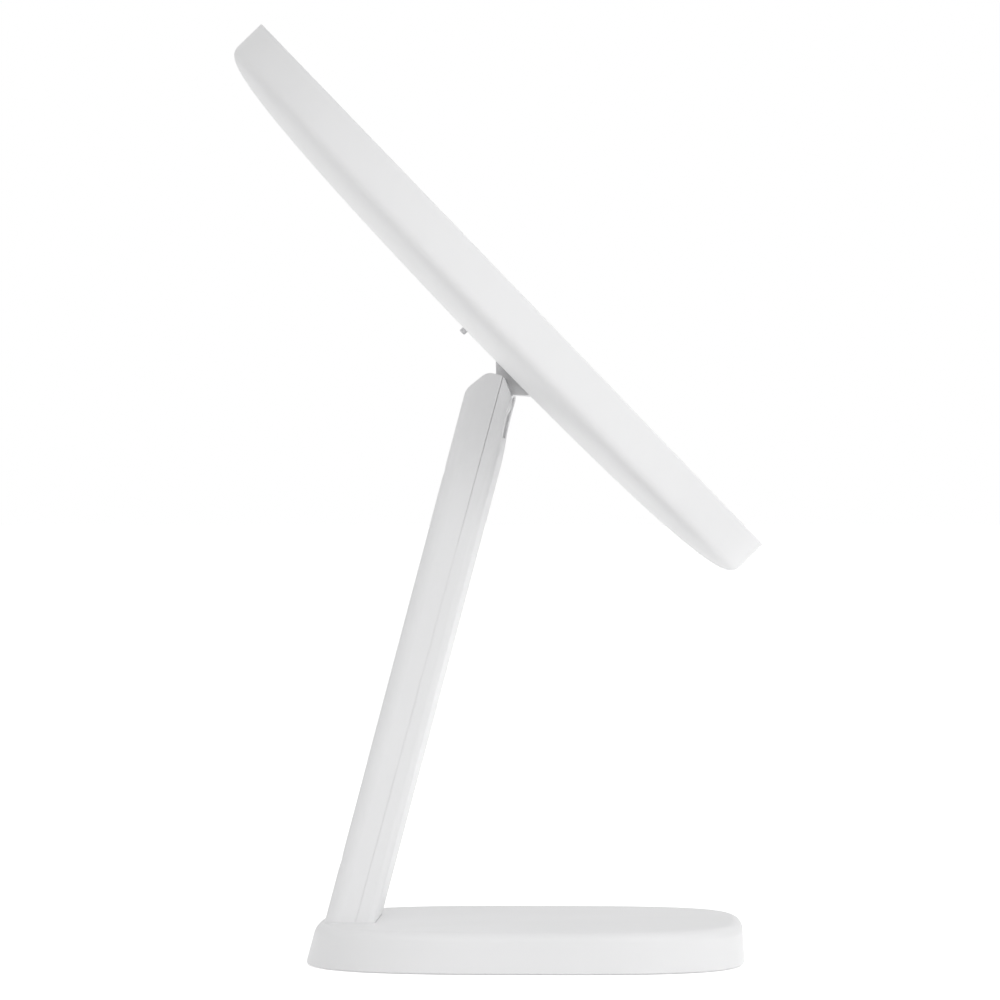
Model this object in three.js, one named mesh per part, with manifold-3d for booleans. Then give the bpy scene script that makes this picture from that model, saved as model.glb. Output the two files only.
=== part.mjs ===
// A lighted makeup mirror: a round head that tilts on a slab arm, which stands in a low base.
// Millimetres, +Z up, +X is the way the glass looks. The origin is the middle of the underside.

import * as THREE from 'three';
import { mergeVertices } from 'three/addons/utils/BufferGeometryUtils.js';
import Module from 'manifold-3d';

const wasm = await Module();
wasm.setup();

// Clearances
const fit_gap = 0.3;
const seam_gap = 0.4;
const board_room = 2.9;

// How deep a rib or post runs into the wall it grows from, and how far a cutter runs past a face
const weld = 0.5;
const overcut = 2;
const least_corner = 0.5;

// Base
const base_length = 121;
const base_width = 120;
const base_height = 11.4;
const base_wall = 2;
const deck_thickness = 2;
const base_edge_radius = 3;
const base_lift = 0.5;
const base_foot_chamfer = 1;
const base_draft = 3.5;
const base_rear_roundness = 3;
const base_front_roundness = 3.4;
const grip_pad_thickness = 0.9;
const grip_pad_inset = 4;
const bottom_cover_thickness = 2.2;
const cover_post_radius = 3.6;
const cover_post_front_inset = 15;
const cover_post_rear_inset = 19;
const cover_post_side_inset = 21;
const ballast_post_gap = 1.4;
const ballast_corner = 6;
const ballast_front_inset = 9;
const ballast_foot_gap = 5.3;
const ballast_screw_inset = 12;
const ballast_headroom = 0.5;

// Arm
const arm_lean = 14.86;
const arm_reach = 148.4;
const arm_width = 44;
const arm_thickness = 13.5;
const arm_rear_shell_depth = 8.8;
const arm_wall = 2.2;
const arm_rear_corner = 4.5;
const arm_front_corner = 1.4;
const arm_rear_margin = 2.5;
const arm_socket_wall = 2;
const arm_boss_radius = 3.2;
const arm_screw_spread = 32;
const arm_screw_drop = 22;
const arm_screw_rise = 16;
const spine_thickness = 2;
const spine_width = 22;
const spine_foot_length = 24;
const spine_screw_inset = 10;
const spine_screw_pitch = 84;
const foot_screw_inset = 6;

// Fork and hinge
const fork_slot_width = 20;
const fork_slot_drop = 9;
const arm_top_rise = 7.4;
const arm_top_rear_cut = 6.2;
const arm_top_front_cut = 4.6;
const arm_top_flat_rear = 2;
const arm_top_flat_front = 2.6;
const fork_front_recess = 0.5;
const hinge_pin_radius = 2.5;
const hinge_pin_grip = 8;
const friction_washer_thickness = 1;
const friction_washer_radius = 5.4;
const knuckle_eye_radius = 5.4;
const knuckle_root_height = 13.3;
const knuckle_neck_height = 7;
const knuckle_neck_length = 2.9;
const knuckle_flange_margin = 6;
const knuckle_flange_side_margin = 8;
const knuckle_screw_inset = 3.2;
const knuckle_flange_thickness = 2;
const knuckle_pad_thickness = 2;
const hinge_standoff = 8.8;
const hinge_below_centre = 19.1;

// Head
const head_tilt = 46.1;
const head_radius = 100;
const rim_depth = 7.5;
const head_wall = 2.2;
const head_lip_chamfer = 0.6;
const glass_recess = 0.3;
const glass_thickness = 3;
const glass_bevel = 0.8;
const adhesive_thickness = 0.8;
const adhesive_margin = 6;
const carrier_thickness = 2;
const carrier_post_radius = 3;
const carrier_post_inset = 10;
const carrier_post_angles = [40, 90, 140, 220, 270, 320];
const carrier_screw_sink = 1.2;
const light_band = 11;
const light_mixing_depth = 3.6;
const diffuser_thickness = 1.8;
const diffuser_skirt = 1.6;
const diffuser_skirt_depth = 4.7;
const channel_wall = 1.2;
const channel_lip_gap = 0.6;
const led_count = 24;
const led_length = 3.5;
const led_width = 2.8;
const led_height = 0.8;
const led_board_thickness = 1;
const led_lead_angle = 240;

// Electronics in the head
const control_board_thickness = 1.6;
const control_board_length = 51;
const control_board_width = 68;
const control_board_below_centre = 5;
const board_post_radius = 2.5;
const board_post_inset = 5;
const chip_height = 1.5;
const switch_height = 4;
const switch_length = 12;
const switch_width = 5;
const knob_length = 4;
const knob_width = 1.7;
const knob_proud = 1.4;
const knob_travel = 3;
const knob_engagement = 1.5;
const knob_chamfer = 0.3;
const usb_width = 9;
const usb_height = 3.2;
const usb_offset = 19;
const usb_tongue_recess = 0.8;
const usb_wall = 0.4;
const usb_mouth_depth = 5;
const usb_tongue_width = 6.4;
const usb_tongue_thickness = 0.7;
const battery_width = 60;
const battery_thickness = 5;
const battery_corner = 3;
const battery_drop = 17;
const battery_clearance = 0.8;
const battery_touch_gap = 4;
const battery_rib = 2;
const battery_rib_offset = 18;
const touch_pad_radius = 6;
const touch_pad_rim_inset = 8.2;
const touch_pad_thickness = 2.6;
const lead_radius = 0.7;
const lead_spacing = 3;
const lead_hole_radius = 2.2;
const lead_bend = 4;
const lead_clearance = 2;

// How many flat sides stand for a round one
const head_segments = 48;
const base_ring_sides = 56;
const screw_sides = 8;
const lead_steps = 12;
const dome_steps = 10;
const dome_bunching = 1.8;
const edge_steps = 4;

// Screws: head radius, head height, shank radius, shank length
const cover_screw = { head: 2.7, rise: 1.2, shank: 1.4, length: 6 };
const arm_screw = { head: 2.4, rise: 1.6, shank: 1.2, length: 9 };
const small_screw = { head: 1.9, rise: 1.2, shank: 1, length: 4.6 };
const board_screw = { head: 1.9, rise: 1.2, shank: 1, length: 3.4 };
const knuckle_screw = { head: 2.3, rise: 1.6, shank: 1.25, length: 4.6 };
const spine_screw = { head: 2.6, rise: 1.6, shank: 1.5, length: 3.4 };

// Worked out from the sizes above
const radians = Math.PI / 180;
const lean = arm_lean * radians;
const cover_bottom = grip_pad_thickness + fit_gap;
const cover_top = cover_bottom + bottom_cover_thickness;
const deck_underside = base_height - deck_thickness;
const ballast_bottom = cover_top + fit_gap;
const ballast_thickness = deck_underside - ballast_headroom - ballast_bottom;
const foot_bottom = cover_top + fit_gap;
const foot_top = foot_bottom + spine_thickness;
const rear_slope = Math.tan(lean);
const draft_slope = Math.tan(base_draft * radians);
const half_thickness = arm_thickness / 2;
const arm_rear_x = -base_length / 2 + base_height * rear_slope + arm_rear_margin;
const arm_foot_x = arm_rear_x + half_thickness / Math.cos(lean);
const pivot_x = arm_foot_x + arm_reach * Math.sin(lean);
const pivot_z = base_height + arm_reach * Math.cos(lean);
const seam_x = arm_rear_shell_depth - half_thickness;
const knuckle_half_width = fork_slot_width / 2 - friction_washer_thickness - 2 * fit_gap;

const glass_back = glass_recess + glass_thickness;
const adhesive_front = glass_back + fit_gap;
const carrier_front = adhesive_front + adhesive_thickness + fit_gap;
const carrier_back = carrier_front + carrier_thickness;
const board_front = carrier_back + board_room;
const board_back = board_front + control_board_thickness;
const switch_front = board_back + fit_gap;
const switch_back = switch_front + switch_height;
const head_depth = switch_back + fit_gap + head_wall;
const rim_inside = head_radius - head_wall;
const diffuser_outer = rim_inside - fit_gap;
const diffuser_inner = diffuser_outer - light_band;
const glass_radius = diffuser_inner - fit_gap;
const led_top = glass_recess + diffuser_thickness + light_mixing_depth;
const led_board_front = led_top + led_height;
const led_board_back = led_board_front + led_board_thickness;
const channel_floor = led_board_back + fit_gap;
const channel_back = channel_floor + channel_wall;
const channel_outer = diffuser_outer - diffuser_skirt - fit_gap;
const led_board_outer = channel_outer - channel_wall - fit_gap;
const led_board_inner = glass_radius + fit_gap;
const carrier_post_circle = glass_radius - carrier_post_inset;
const pivot_depth = head_depth + hinge_standoff;
const battery_front = carrier_back + battery_clearance;
const battery_back = battery_front + battery_thickness;
const touch_pad_offset = glass_radius - touch_pad_rim_inset;
const battery_start = hinge_below_centre + battery_drop;
const battery_end = touch_pad_offset - touch_pad_radius - battery_touch_gap;
const board_low_edge = control_board_below_centre;
const board_high_edge = control_board_below_centre - control_board_length;

// Makes a closed mesh: shared corners merged, empty faces dropped, faces turned outwards
function closed(geometry) {
  const bare = geometry.index ? geometry.toNonIndexed() : geometry.clone();
  bare.deleteAttribute('normal');
  bare.deleteAttribute('uv');
  const merged = mergeVertices(bare, 1e-4);
  const corners = merged.index.array;
  const kept = [];
  let volume = 0;
  const [a, b, c] = [new THREE.Vector3(), new THREE.Vector3(), new THREE.Vector3()];
  for (let i = 0; i < corners.length; i += 3) {
    const [p, q, r] = [corners[i], corners[i + 1], corners[i + 2]];
    if (p === q || q === r || r === p) continue;
    kept.push(p, q, r);
    a.fromBufferAttribute(merged.attributes.position, p);
    b.fromBufferAttribute(merged.attributes.position, q);
    c.fromBufferAttribute(merged.attributes.position, r);
    volume += a.dot(b.cross(c)) / 6;
  }
  if (volume < 0) {
    for (let i = 0; i < kept.length; i += 3) {
      [kept[i + 1], kept[i + 2]] = [kept[i + 2], kept[i + 1]];
    }
  }
  merged.setIndex(kept);
  return merged;
}

function solid(geometry) {
  const mesh = closed(geometry);
  const vertProperties = Float32Array.from(mesh.attributes.position.array);
  const triVerts = Uint32Array.from(mesh.index.array);
  return new wasm.Manifold(new wasm.Mesh({ numProp: 3, vertProperties, triVerts }));
}

function geometryOf(body) {
  const mesh = body.getMesh();
  const geometry = new THREE.BufferGeometry();
  geometry.setAttribute('position', new THREE.BufferAttribute(mesh.vertProperties, 3));
  geometry.setIndex(Array.from(mesh.triVerts));
  return geometry;
}

// A shape turned about the Z axis, from [radius, height] points
function turned(points, segments = head_segments) {
  const profile = points.map(([r, z]) => new THREE.Vector2(r, z));
  return new THREE.LatheGeometry(profile, segments).rotateX(Math.PI / 2);
}

// A round bar along Z between two heights
function bar(radius, low, high, x = 0, y = 0, segments = 12) {
  const geometry = new THREE.CylinderGeometry(radius, radius, high - low, segments);
  return geometry.rotateX(Math.PI / 2).translate(x, y, (low + high) / 2);
}

function block(xRange, yRange, zRange) {
  const [w, d, h] = [xRange[1] - xRange[0], yRange[1] - yRange[0], zRange[1] - zRange[0]];
  const middle = [xRange, yRange, zRange].map(([low, high]) => (low + high) / 2);
  return new THREE.BoxGeometry(w, d, h).translate(...middle);
}

// A flat outline in X and Y, raised along Z
function raised(shape, low, high, curveSegments = 5) {
  const options = { depth: high - low, bevelEnabled: false, curveSegments };
  return new THREE.ExtrudeGeometry(shape, options).translate(0, 0, low);
}

// An outline in X and Z, as wide as given and centred along Y
function crossways(shape, width, curveSegments = 10) {
  const options = { depth: width, bevelEnabled: false, curveSegments };
  return new THREE.ExtrudeGeometry(shape, options).rotateX(Math.PI / 2).translate(0, width / 2, 0);
}

function outline(points) {
  return new THREE.Shape(points.map(([x, y]) => new THREE.Vector2(x, y)));
}

// A rectangle with a corner radius for each side in X
function roundedRectangle(x0, x1, y0, y1, lowRadius, highRadius = lowRadius) {
  const shape = new THREE.Shape();
  shape.moveTo(x0 + lowRadius, y0);
  shape.lineTo(x1 - highRadius, y0);
  shape.absarc(x1 - highRadius, y0 + highRadius, highRadius, -Math.PI / 2, 0);
  shape.absarc(x1 - highRadius, y1 - highRadius, highRadius, 0, Math.PI / 2);
  shape.absarc(x0 + lowRadius, y1 - lowRadius, lowRadius, Math.PI / 2, Math.PI);
  shape.absarc(x0 + lowRadius, y0 + lowRadius, lowRadius, Math.PI, Math.PI * 1.5);
  return shape;
}

// A closed skin over rings of equal count, with a flat lid on the first and on the last
function lofted(rings) {
  const count = rings[0].length;
  const positions = rings.flat().flatMap((p) => [p.x, p.y, p.z]);
  const faces = [];
  for (let level = 0; level + 1 < rings.length; level += 1) {
    for (let i = 0; i < count; i += 1) {
      const [a, b] = [level * count + i, level * count + (i + 1) % count];
      faces.push(a, b, b + count, a, b + count, a + count);
    }
  }
  const last = (rings.length - 1) * count;
  for (let i = 1; i + 1 < count; i += 1) {
    faces.push(0, i + 1, i, last, last + i, last + i + 1);
  }
  const geometry = new THREE.BufferGeometry();
  geometry.setAttribute('position', new THREE.Float32BufferAttribute(positions, 3));
  geometry.setIndex(faces);
  return geometry;
}

// A round lead through points, ending square at its first and last point
function lead(points) {
  const path = new THREE.CatmullRomCurve3(points.map((p) => new THREE.Vector3(...p)));
  const section = new THREE.Shape().absarc(0, 0, lead_radius, 0, Math.PI * 2);
  return new THREE.ExtrudeGeometry(section, { steps: lead_steps, curveSegments: 4, extrudePath: path });
}

// A pan-head screw whose head sits on z = 0 and whose shank points down
function screwGeometry({ head, rise, shank, length }) {
  const points = [[0, rise], [head * 0.85, rise], [head, rise * 0.4], [head, 0], [shank, 0],
    [shank, -length], [0, -length]];
  return turned(points, screw_sides);
}

// The room that a screw needs: a sunk seat for its head and a hole for its shank
function screwRoom({ head, shank, length }, headroom) {
  const tall = bar(head + fit_gap, 0, headroom, 0, 0, screw_sides);
  const deep = bar(shank + fit_gap, -length - fit_gap, headroom, 0, 0, screw_sides);
  return solid(tall).add(solid(deep));
}

const white = { color: 0xececec, roughness: 0.38 };
const inner_white = { color: 0xe2e2e0, roughness: 0.55 };
const dark_rubber = { color: 0xb9b9b7, roughness: 0.9 };
const steel = { color: 0xb8babd, roughness: 0.35, metalness: 1 };
const brass = { color: 0xc9a45c, roughness: 0.4, metalness: 1 };

function piece(parent, name, geometry, look) {
  const made = geometry instanceof wasm.Manifold ? geometryOf(geometry) : closed(geometry);
  made.computeVertexNormals();
  const mesh = new THREE.Mesh(made, new THREE.MeshStandardMaterial(look));
  mesh.name = name;
  parent.add(mesh);
  return mesh;
}

// Base: plan rings are superellipses, blunter in front. The rear wall leans with the arm and the
// other walls have a draft.
function baseRing(z, inset) {
  const ring = [];
  const rear = -base_length / 2 + z * rear_slope + inset;
  const front = base_length / 2 - z * draft_slope - inset;
  const half_length = (front - rear) / 2;
  const half_width = base_width / 2 - z * draft_slope - inset;
  for (let i = 0; i < base_ring_sides; i += 1) {
    const angle = (i / base_ring_sides) * Math.PI * 2;
    const [c, s] = [Math.cos(angle), Math.sin(angle)];
    const power = 2 / (c > 0 ? base_front_roundness : base_rear_roundness);
    const x = (rear + front) / 2 + half_length * Math.sign(c) * Math.abs(c) ** power;
    ring.push(new THREE.Vector3(x, half_width * Math.sign(s) * Math.abs(s) ** power, z));
  }
  return ring;
}

function baseEdge(radius, inset, steps) {
  const rings = [];
  for (let step = 0; step <= steps; step += 1) {
    const angle = (step / steps) * Math.PI / 2;
    const z = base_height - radius + radius * Math.sin(angle);
    rings.push(baseRing(z, inset + radius * (1 - Math.cos(angle))));
  }
  return rings;
}

const cover_post_places = [];
for (const x of [cover_post_rear_inset - base_length / 2, base_length / 2 - cover_post_front_inset]) {
  for (const y of [-1, 1]) {
    cover_post_places.push([x, y * (base_width / 2 - cover_post_side_inset)]);
  }
}
const foot_heel_x = arm_foot_x - (base_height - foot_top) * rear_slope - spine_thickness;
const foot_toe_x = foot_heel_x + spine_foot_length;
const ballast_end = base_length / 2 - ballast_front_inset;
const ballast_start = foot_toe_x + ballast_foot_gap;
const ballast_screw_places = [[ballast_start + ballast_screw_inset, 0],
  [ballast_end - ballast_screw_inset, 0]];
const foot_screw_places = [-1, 1].map((side) => [foot_toe_x - foot_screw_inset,
  side * (spine_width / 2 - foot_screw_inset)]);

// The arm's section, grown or shrunk by an inset, as a bar along the arm
function armBar(inset, low, high) {
  const half_width = arm_width / 2 - inset;
  const rear_corner = Math.max(arm_rear_corner - inset, least_corner);
  const front_corner = Math.max(arm_front_corner - inset, least_corner);
  const section = roundedRectangle(-half_thickness + inset, half_thickness - inset,
    -half_width, half_width, rear_corner, front_corner);
  return raised(section, low, high);
}

// Puts a shape made in the arm's own axes where the arm stands
function alongArm(body) {
  const place = new THREE.Matrix4().makeRotationY(lean).setPosition(pivot_x, 0, pivot_z);
  return body.applyMatrix4(place);
}

const arm_length = arm_reach + base_height;
const arm_shell_end = foot_top + fit_gap;

// The arm's outline from the side: a flat top between two slanted corners, a front that steps back
// a little along the fork, and a level foot
function armSide() {
  const foot = (x) => -(pivot_z - arm_shell_end + -x * Math.sin(lean)) / Math.cos(lean);
  const fork_front = half_thickness - fork_front_recess;
  return crossways(outline([[-half_thickness, foot(-half_thickness)], [half_thickness, foot(half_thickness)],
    [half_thickness, -fork_slot_drop - knuckle_eye_radius], [fork_front, -knuckle_eye_radius],
    [fork_front, arm_top_rise - arm_top_front_cut], [arm_top_flat_front, arm_top_rise],
    [-arm_top_flat_rear, arm_top_rise], [-half_thickness, arm_top_rise - arm_top_rear_cut]]),
  arm_width + overcut);
}

function baseTopShell() {
  const ceiling = baseRing(deck_underside, base_wall);
  const rings = [ceiling, baseRing(base_lift, base_wall), baseRing(base_lift, base_foot_chamfer),
    baseRing(base_lift + base_foot_chamfer, 0), ...baseEdge(base_edge_radius, 0, edge_steps)];
  const skin_middle = base_wall / 2;
  const inside = solid(lofted([baseRing(base_lift, skin_middle),
    ...baseEdge(base_edge_radius - skin_middle, skin_middle, edge_steps)]));
  let shell = solid(lofted(rings));
  const socket = solid(alongArm(armBar(-fit_gap - arm_socket_wall, -arm_length, 0)));
  const socket_room = solid(block([-base_length, base_length], [-base_width, base_width],
    [arm_shell_end, deck_underside + weld]));
  shell = shell.add(socket.intersect(socket_room).intersect(inside));
  for (const [x, y] of cover_post_places) {
    shell = shell.add(solid(bar(cover_post_radius, cover_top + fit_gap, deck_underside + weld, x, y)));
  }
  for (const [x, y] of cover_post_places) {
    const depth = cover_bottom + cover_screw.rise + cover_screw.length + fit_gap;
    shell = shell.subtract(solid(bar(cover_screw.shank + fit_gap, cover_bottom, depth, x, y, screw_sides)));
  }
  const slot_room = solid(block([-base_length, base_length], [-base_width, base_width],
    [arm_shell_end - fit_gap, base_height + overcut]));
  return shell.subtract(solid(alongArm(armBar(-fit_gap, -arm_length * 2, 0))).intersect(slot_room));
}

// A plate with the base's own outline and rear slope
function basePlate(inset, low, high) {
  return solid(lofted([baseRing(low, inset), baseRing(high, inset)]));
}

function bottomCover() {
  let cover = basePlate(base_wall + fit_gap, cover_bottom, cover_top);
  for (const [x, y] of [...cover_post_places, ...foot_screw_places, ...ballast_screw_places]) {
    const room = screwRoom(cover_screw, cover_screw.rise + overcut);
    cover = cover.subtract(room.rotate([180, 0, 0]).translate([x, y, cover_bottom + cover_screw.rise]));
  }
  return cover;
}

function ballastPlate() {
  const half = base_width / 2 - cover_post_side_inset - cover_post_radius - ballast_post_gap;
  const plan = roundedRectangle(ballast_start, ballast_end, -half, half, ballast_corner);
  let plate = solid(raised(plan, ballast_bottom, ballast_bottom + ballast_thickness));
  for (const [x, y] of ballast_screw_places) {
    const top = cover_bottom + cover_screw.rise + cover_screw.length + fit_gap;
    plate = plate.subtract(solid(bar(cover_screw.shank + fit_gap, cover_bottom, top, x, y, screw_sides)));
  }
  return plate;
}

function buildBase(stand) {
  piece(stand, 'base_top_shell', baseTopShell(), white);
  piece(stand, 'base_bottom_cover', bottomCover(), inner_white);
  piece(stand, 'base_ballast_plate', ballastPlate(), steel);
  piece(stand, 'base_grip_pad', basePlate(grip_pad_inset, 0, grip_pad_thickness), dark_rubber);
  const groups = [['base_cover_screw', cover_post_places], ['arm_foot_screw', foot_screw_places],
    ['ballast_screw', ballast_screw_places]];
  for (const [name, places] of groups) {
    places.forEach(([x, y], i) => {
      const screw = piece(stand, `${name}_${i + 1}`, screwGeometry(cover_screw), steel);
      screw.rotation.x = Math.PI;
      screw.position.set(x, y, cover_bottom + cover_screw.rise);
    });
  }
}

// Arm: everything below is in the arm's axes, with the hinge axis at the origin and +Z up the arm
const arm_screw_places = [];
for (const along of [-arm_screw_drop, -arm_reach + arm_screw_rise]) {
  for (const side of [-1, 1]) arm_screw_places.push([side * arm_screw_spread / 2, along]);
}
const spine_top = -fork_slot_drop - arm_wall - 2 * fit_gap;
const spine_screw_places = [0, 1].map((i) => [0, spine_top - spine_screw_inset - i * spine_screw_pitch]);
const arm_hollow_top = -fork_slot_drop - arm_wall;
const arm_screw_seat = -half_thickness + arm_screw.rise + fit_gap;

function armBody() {
  let body = solid(armBar(0, -arm_length * 2, arm_top_rise + overcut)).intersect(solid(armSide()));
  const slot = block([-arm_thickness, arm_thickness], [-fork_slot_width / 2, fork_slot_width / 2],
    [-fork_slot_drop, arm_top_rise * 2]);
  body = body.subtract(solid(slot));
  const pin = hinge_pin_radius + fit_gap;
  const half_length = fork_slot_width / 2 + hinge_pin_grip + fit_gap;
  const bore = bar(pin, -half_length, half_length, 0, 0, 20).rotateX(Math.PI / 2);
  return body.subtract(solid(bore));
}

// The hollow arm between two depths, on one side of the seam
function armHalf(body, rear, front) {
  const keep = block([rear, front], [-arm_width, arm_width], [-arm_length * 2, arm_length]);
  const hollow = solid(armBar(arm_wall, -arm_length * 2, arm_hollow_top));
  return body.subtract(hollow).intersect(solid(keep));
}

// A round boss along X between two depths
function boss(radius, from, to, y, z, segments = 10) {
  return solid(bar(radius, from, to, 0, 0, segments).rotateY(Math.PI / 2).translate(0, y, z));
}

function armRearShell(body) {
  let shell = armHalf(body, -arm_thickness, seam_x - seam_gap / 2);
  const skin_middle = -half_thickness + arm_wall / 2;
  for (const [y, z] of arm_screw_places) {
    shell = shell.add(boss(arm_boss_radius, skin_middle, seam_x - seam_gap / 2, y, z));
  }
  for (const [y, z] of spine_screw_places) {
    const pilot_end = spine_rear + spine_thickness - spine_screw.length;
    shell = shell.add(boss(arm_boss_radius, skin_middle, spine_rear - fit_gap, y, z));
    shell = shell.subtract(boss(spine_screw.shank + fit_gap, pilot_end, spine_rear, y, z));
  }
  return cutArmScrews(shell);
}

function cutArmScrews(shell) {
  let cut = shell;
  for (const [y, z] of arm_screw_places) {
    const room = screwRoom(arm_screw, arm_screw.rise + arm_thickness);
    cut = cut.subtract(room.rotate([0, -90, 0]).translate([arm_screw_seat, y, z]));
  }
  return cut;
}

function armFrontShell(body) {
  let shell = armHalf(body, seam_x + seam_gap / 2, arm_thickness);
  for (const [y, z] of arm_screw_places) {
    shell = shell.add(boss(arm_boss_radius, seam_x + seam_gap / 2, half_thickness - arm_wall / 2, y, z));
  }
  return cutArmScrews(shell);
}

const spine_rear = -spine_thickness;

// The steel spine: a strip up the arm, bent level for its foot
function armSpine() {
  const to_base = (x, z) => [
    pivot_x + x * Math.cos(lean) + z * Math.sin(lean),
    pivot_z - x * Math.sin(lean) + z * Math.cos(lean)];
  const down = (x, level) => {
    const z = (level - pivot_z + x * Math.sin(lean)) / Math.cos(lean);
    return to_base(x, z);
  };
  const top = spine_top;
  const heel = down(spine_rear, foot_bottom);
  const side = outline([heel, [foot_toe_x, foot_bottom], [foot_toe_x, foot_top],
    down(spine_rear + spine_thickness, foot_top), to_base(spine_rear + spine_thickness, top),
    to_base(spine_rear, top)]);
  let spine = solid(crossways(side, spine_width));
  for (const [x, y] of foot_screw_places) {
    spine = spine.subtract(solid(bar(cover_screw.shank + fit_gap, 0, base_height, x, y, screw_sides)));
  }
  const place = new THREE.Matrix4().makeRotationY(lean).setPosition(pivot_x, 0, pivot_z);
  for (const [y, z] of spine_screw_places) {
    const hole = bar(spine_screw.shank + fit_gap, -arm_thickness, arm_thickness, 0, 0, screw_sides);
    spine = spine.subtract(solid(hole.rotateY(Math.PI / 2).translate(0, y, z).applyMatrix4(place)));
  }
  return spine;
}

function buildArm(stand) {
  const arm = new THREE.Group();
  arm.position.set(pivot_x, 0, pivot_z);
  arm.rotation.y = lean;
  stand.add(arm);
  const body = armBody();
  piece(arm, 'arm_rear_shell', armRearShell(body), white);
  piece(arm, 'arm_front_shell', armFrontShell(body), white);
  piece(stand, 'arm_spine', armSpine(), steel);
  arm_screw_places.forEach(([y, z], i) => {
    const screw = piece(arm, `arm_shell_screw_${i + 1}`, screwGeometry(arm_screw), steel);
    screw.rotation.y = -Math.PI / 2;
    screw.position.set(arm_screw_seat, y, z);
  });
  spine_screw_places.forEach(([y, z], i) => {
    const screw = piece(arm, `spine_screw_${i + 1}`, screwGeometry(spine_screw), steel);
    screw.rotation.y = Math.PI / 2;
    screw.position.set(spine_rear + spine_thickness + fit_gap, y, z);
  });
  const half_length = fork_slot_width / 2 + hinge_pin_grip;
  const pin = bar(hinge_pin_radius, -half_length, half_length, 0, 0, 20).rotateX(Math.PI / 2);
  piece(arm, 'hinge_pin', pin, steel);
  for (const [name, side] of [['friction_washer_near', -1], ['friction_washer_far', 1]]) {
    const half = friction_washer_thickness / 2;
    const hole = hinge_pin_radius + fit_gap;
    const ring = turned([[hole, -half], [friction_washer_radius, -half],
      [friction_washer_radius, half], [hole, half], [hole, -half]], 20);
    const washer = piece(arm, name, ring.rotateX(Math.PI / 2), inner_white);
    washer.position.y = side * (knuckle_half_width + fit_gap + half);
  }
}

// Head: everything below is in the head's axes. The front plane is z = 0 with its centre at the
// origin, +Z looks out of the glass and +X runs down the glass.

// How far the head's back lies behind the front plane, for the outer or the inner skin
function domeDepth(angle, offset) {
  return rim_depth - offset + (head_depth - rim_depth) * Math.sqrt(Math.max(Math.cos(angle), 0));
}

// Points of the dome from its middle to its rim, closer together where it turns
function domePoints(offset, count) {
  const points = [];
  for (let i = 0; i <= count; i += 1) {
    const angle = (1 - (1 - i / count) ** dome_bunching) * Math.PI / 2;
    points.push([(head_radius - offset) * Math.sin(angle), -domeDepth(angle, offset)]);
  }
  points[0][0] = 0;
  return points;
}

// The head's outer form as one closed body, shrunk by an offset
function domeCore(offset) {
  return solid(turned([...domePoints(offset, dome_steps), [head_radius - offset, 0], [0, 0]]));
}

const flange_half_height = knuckle_root_height / 2 + knuckle_flange_margin;
const flange_half_width = knuckle_half_width + knuckle_flange_side_margin;
const knuckle_pad_front = head_depth - head_wall - knuckle_pad_thickness;
const flange_back = knuckle_pad_front - fit_gap;
const flange_front = flange_back - knuckle_flange_thickness;
const knuckle_screw_places = [];
for (const x of [-1, 1]) {
  for (const y of [-1, 1]) {
    knuckle_screw_places.push([hinge_below_centre + x * (flange_half_height - knuckle_screw_inset),
      y * (flange_half_width - knuckle_screw_inset)]);
  }
}
const board_post_places = [];
for (const x of [board_high_edge + board_post_inset, board_low_edge - board_post_inset]) {
  for (const y of [-1, 1]) board_post_places.push([x, y * (control_board_width / 2 - board_post_inset)]);
}
const carrier_post_places = carrier_post_angles.map((angle) => [
  carrier_post_circle * Math.cos(angle * radians), carrier_post_circle * Math.sin(angle * radians)]);

function stadium(width, height) {
  return roundedRectangle(-height / 2, height / 2, -width / 2, width / 2, height / 2);
}

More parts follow.
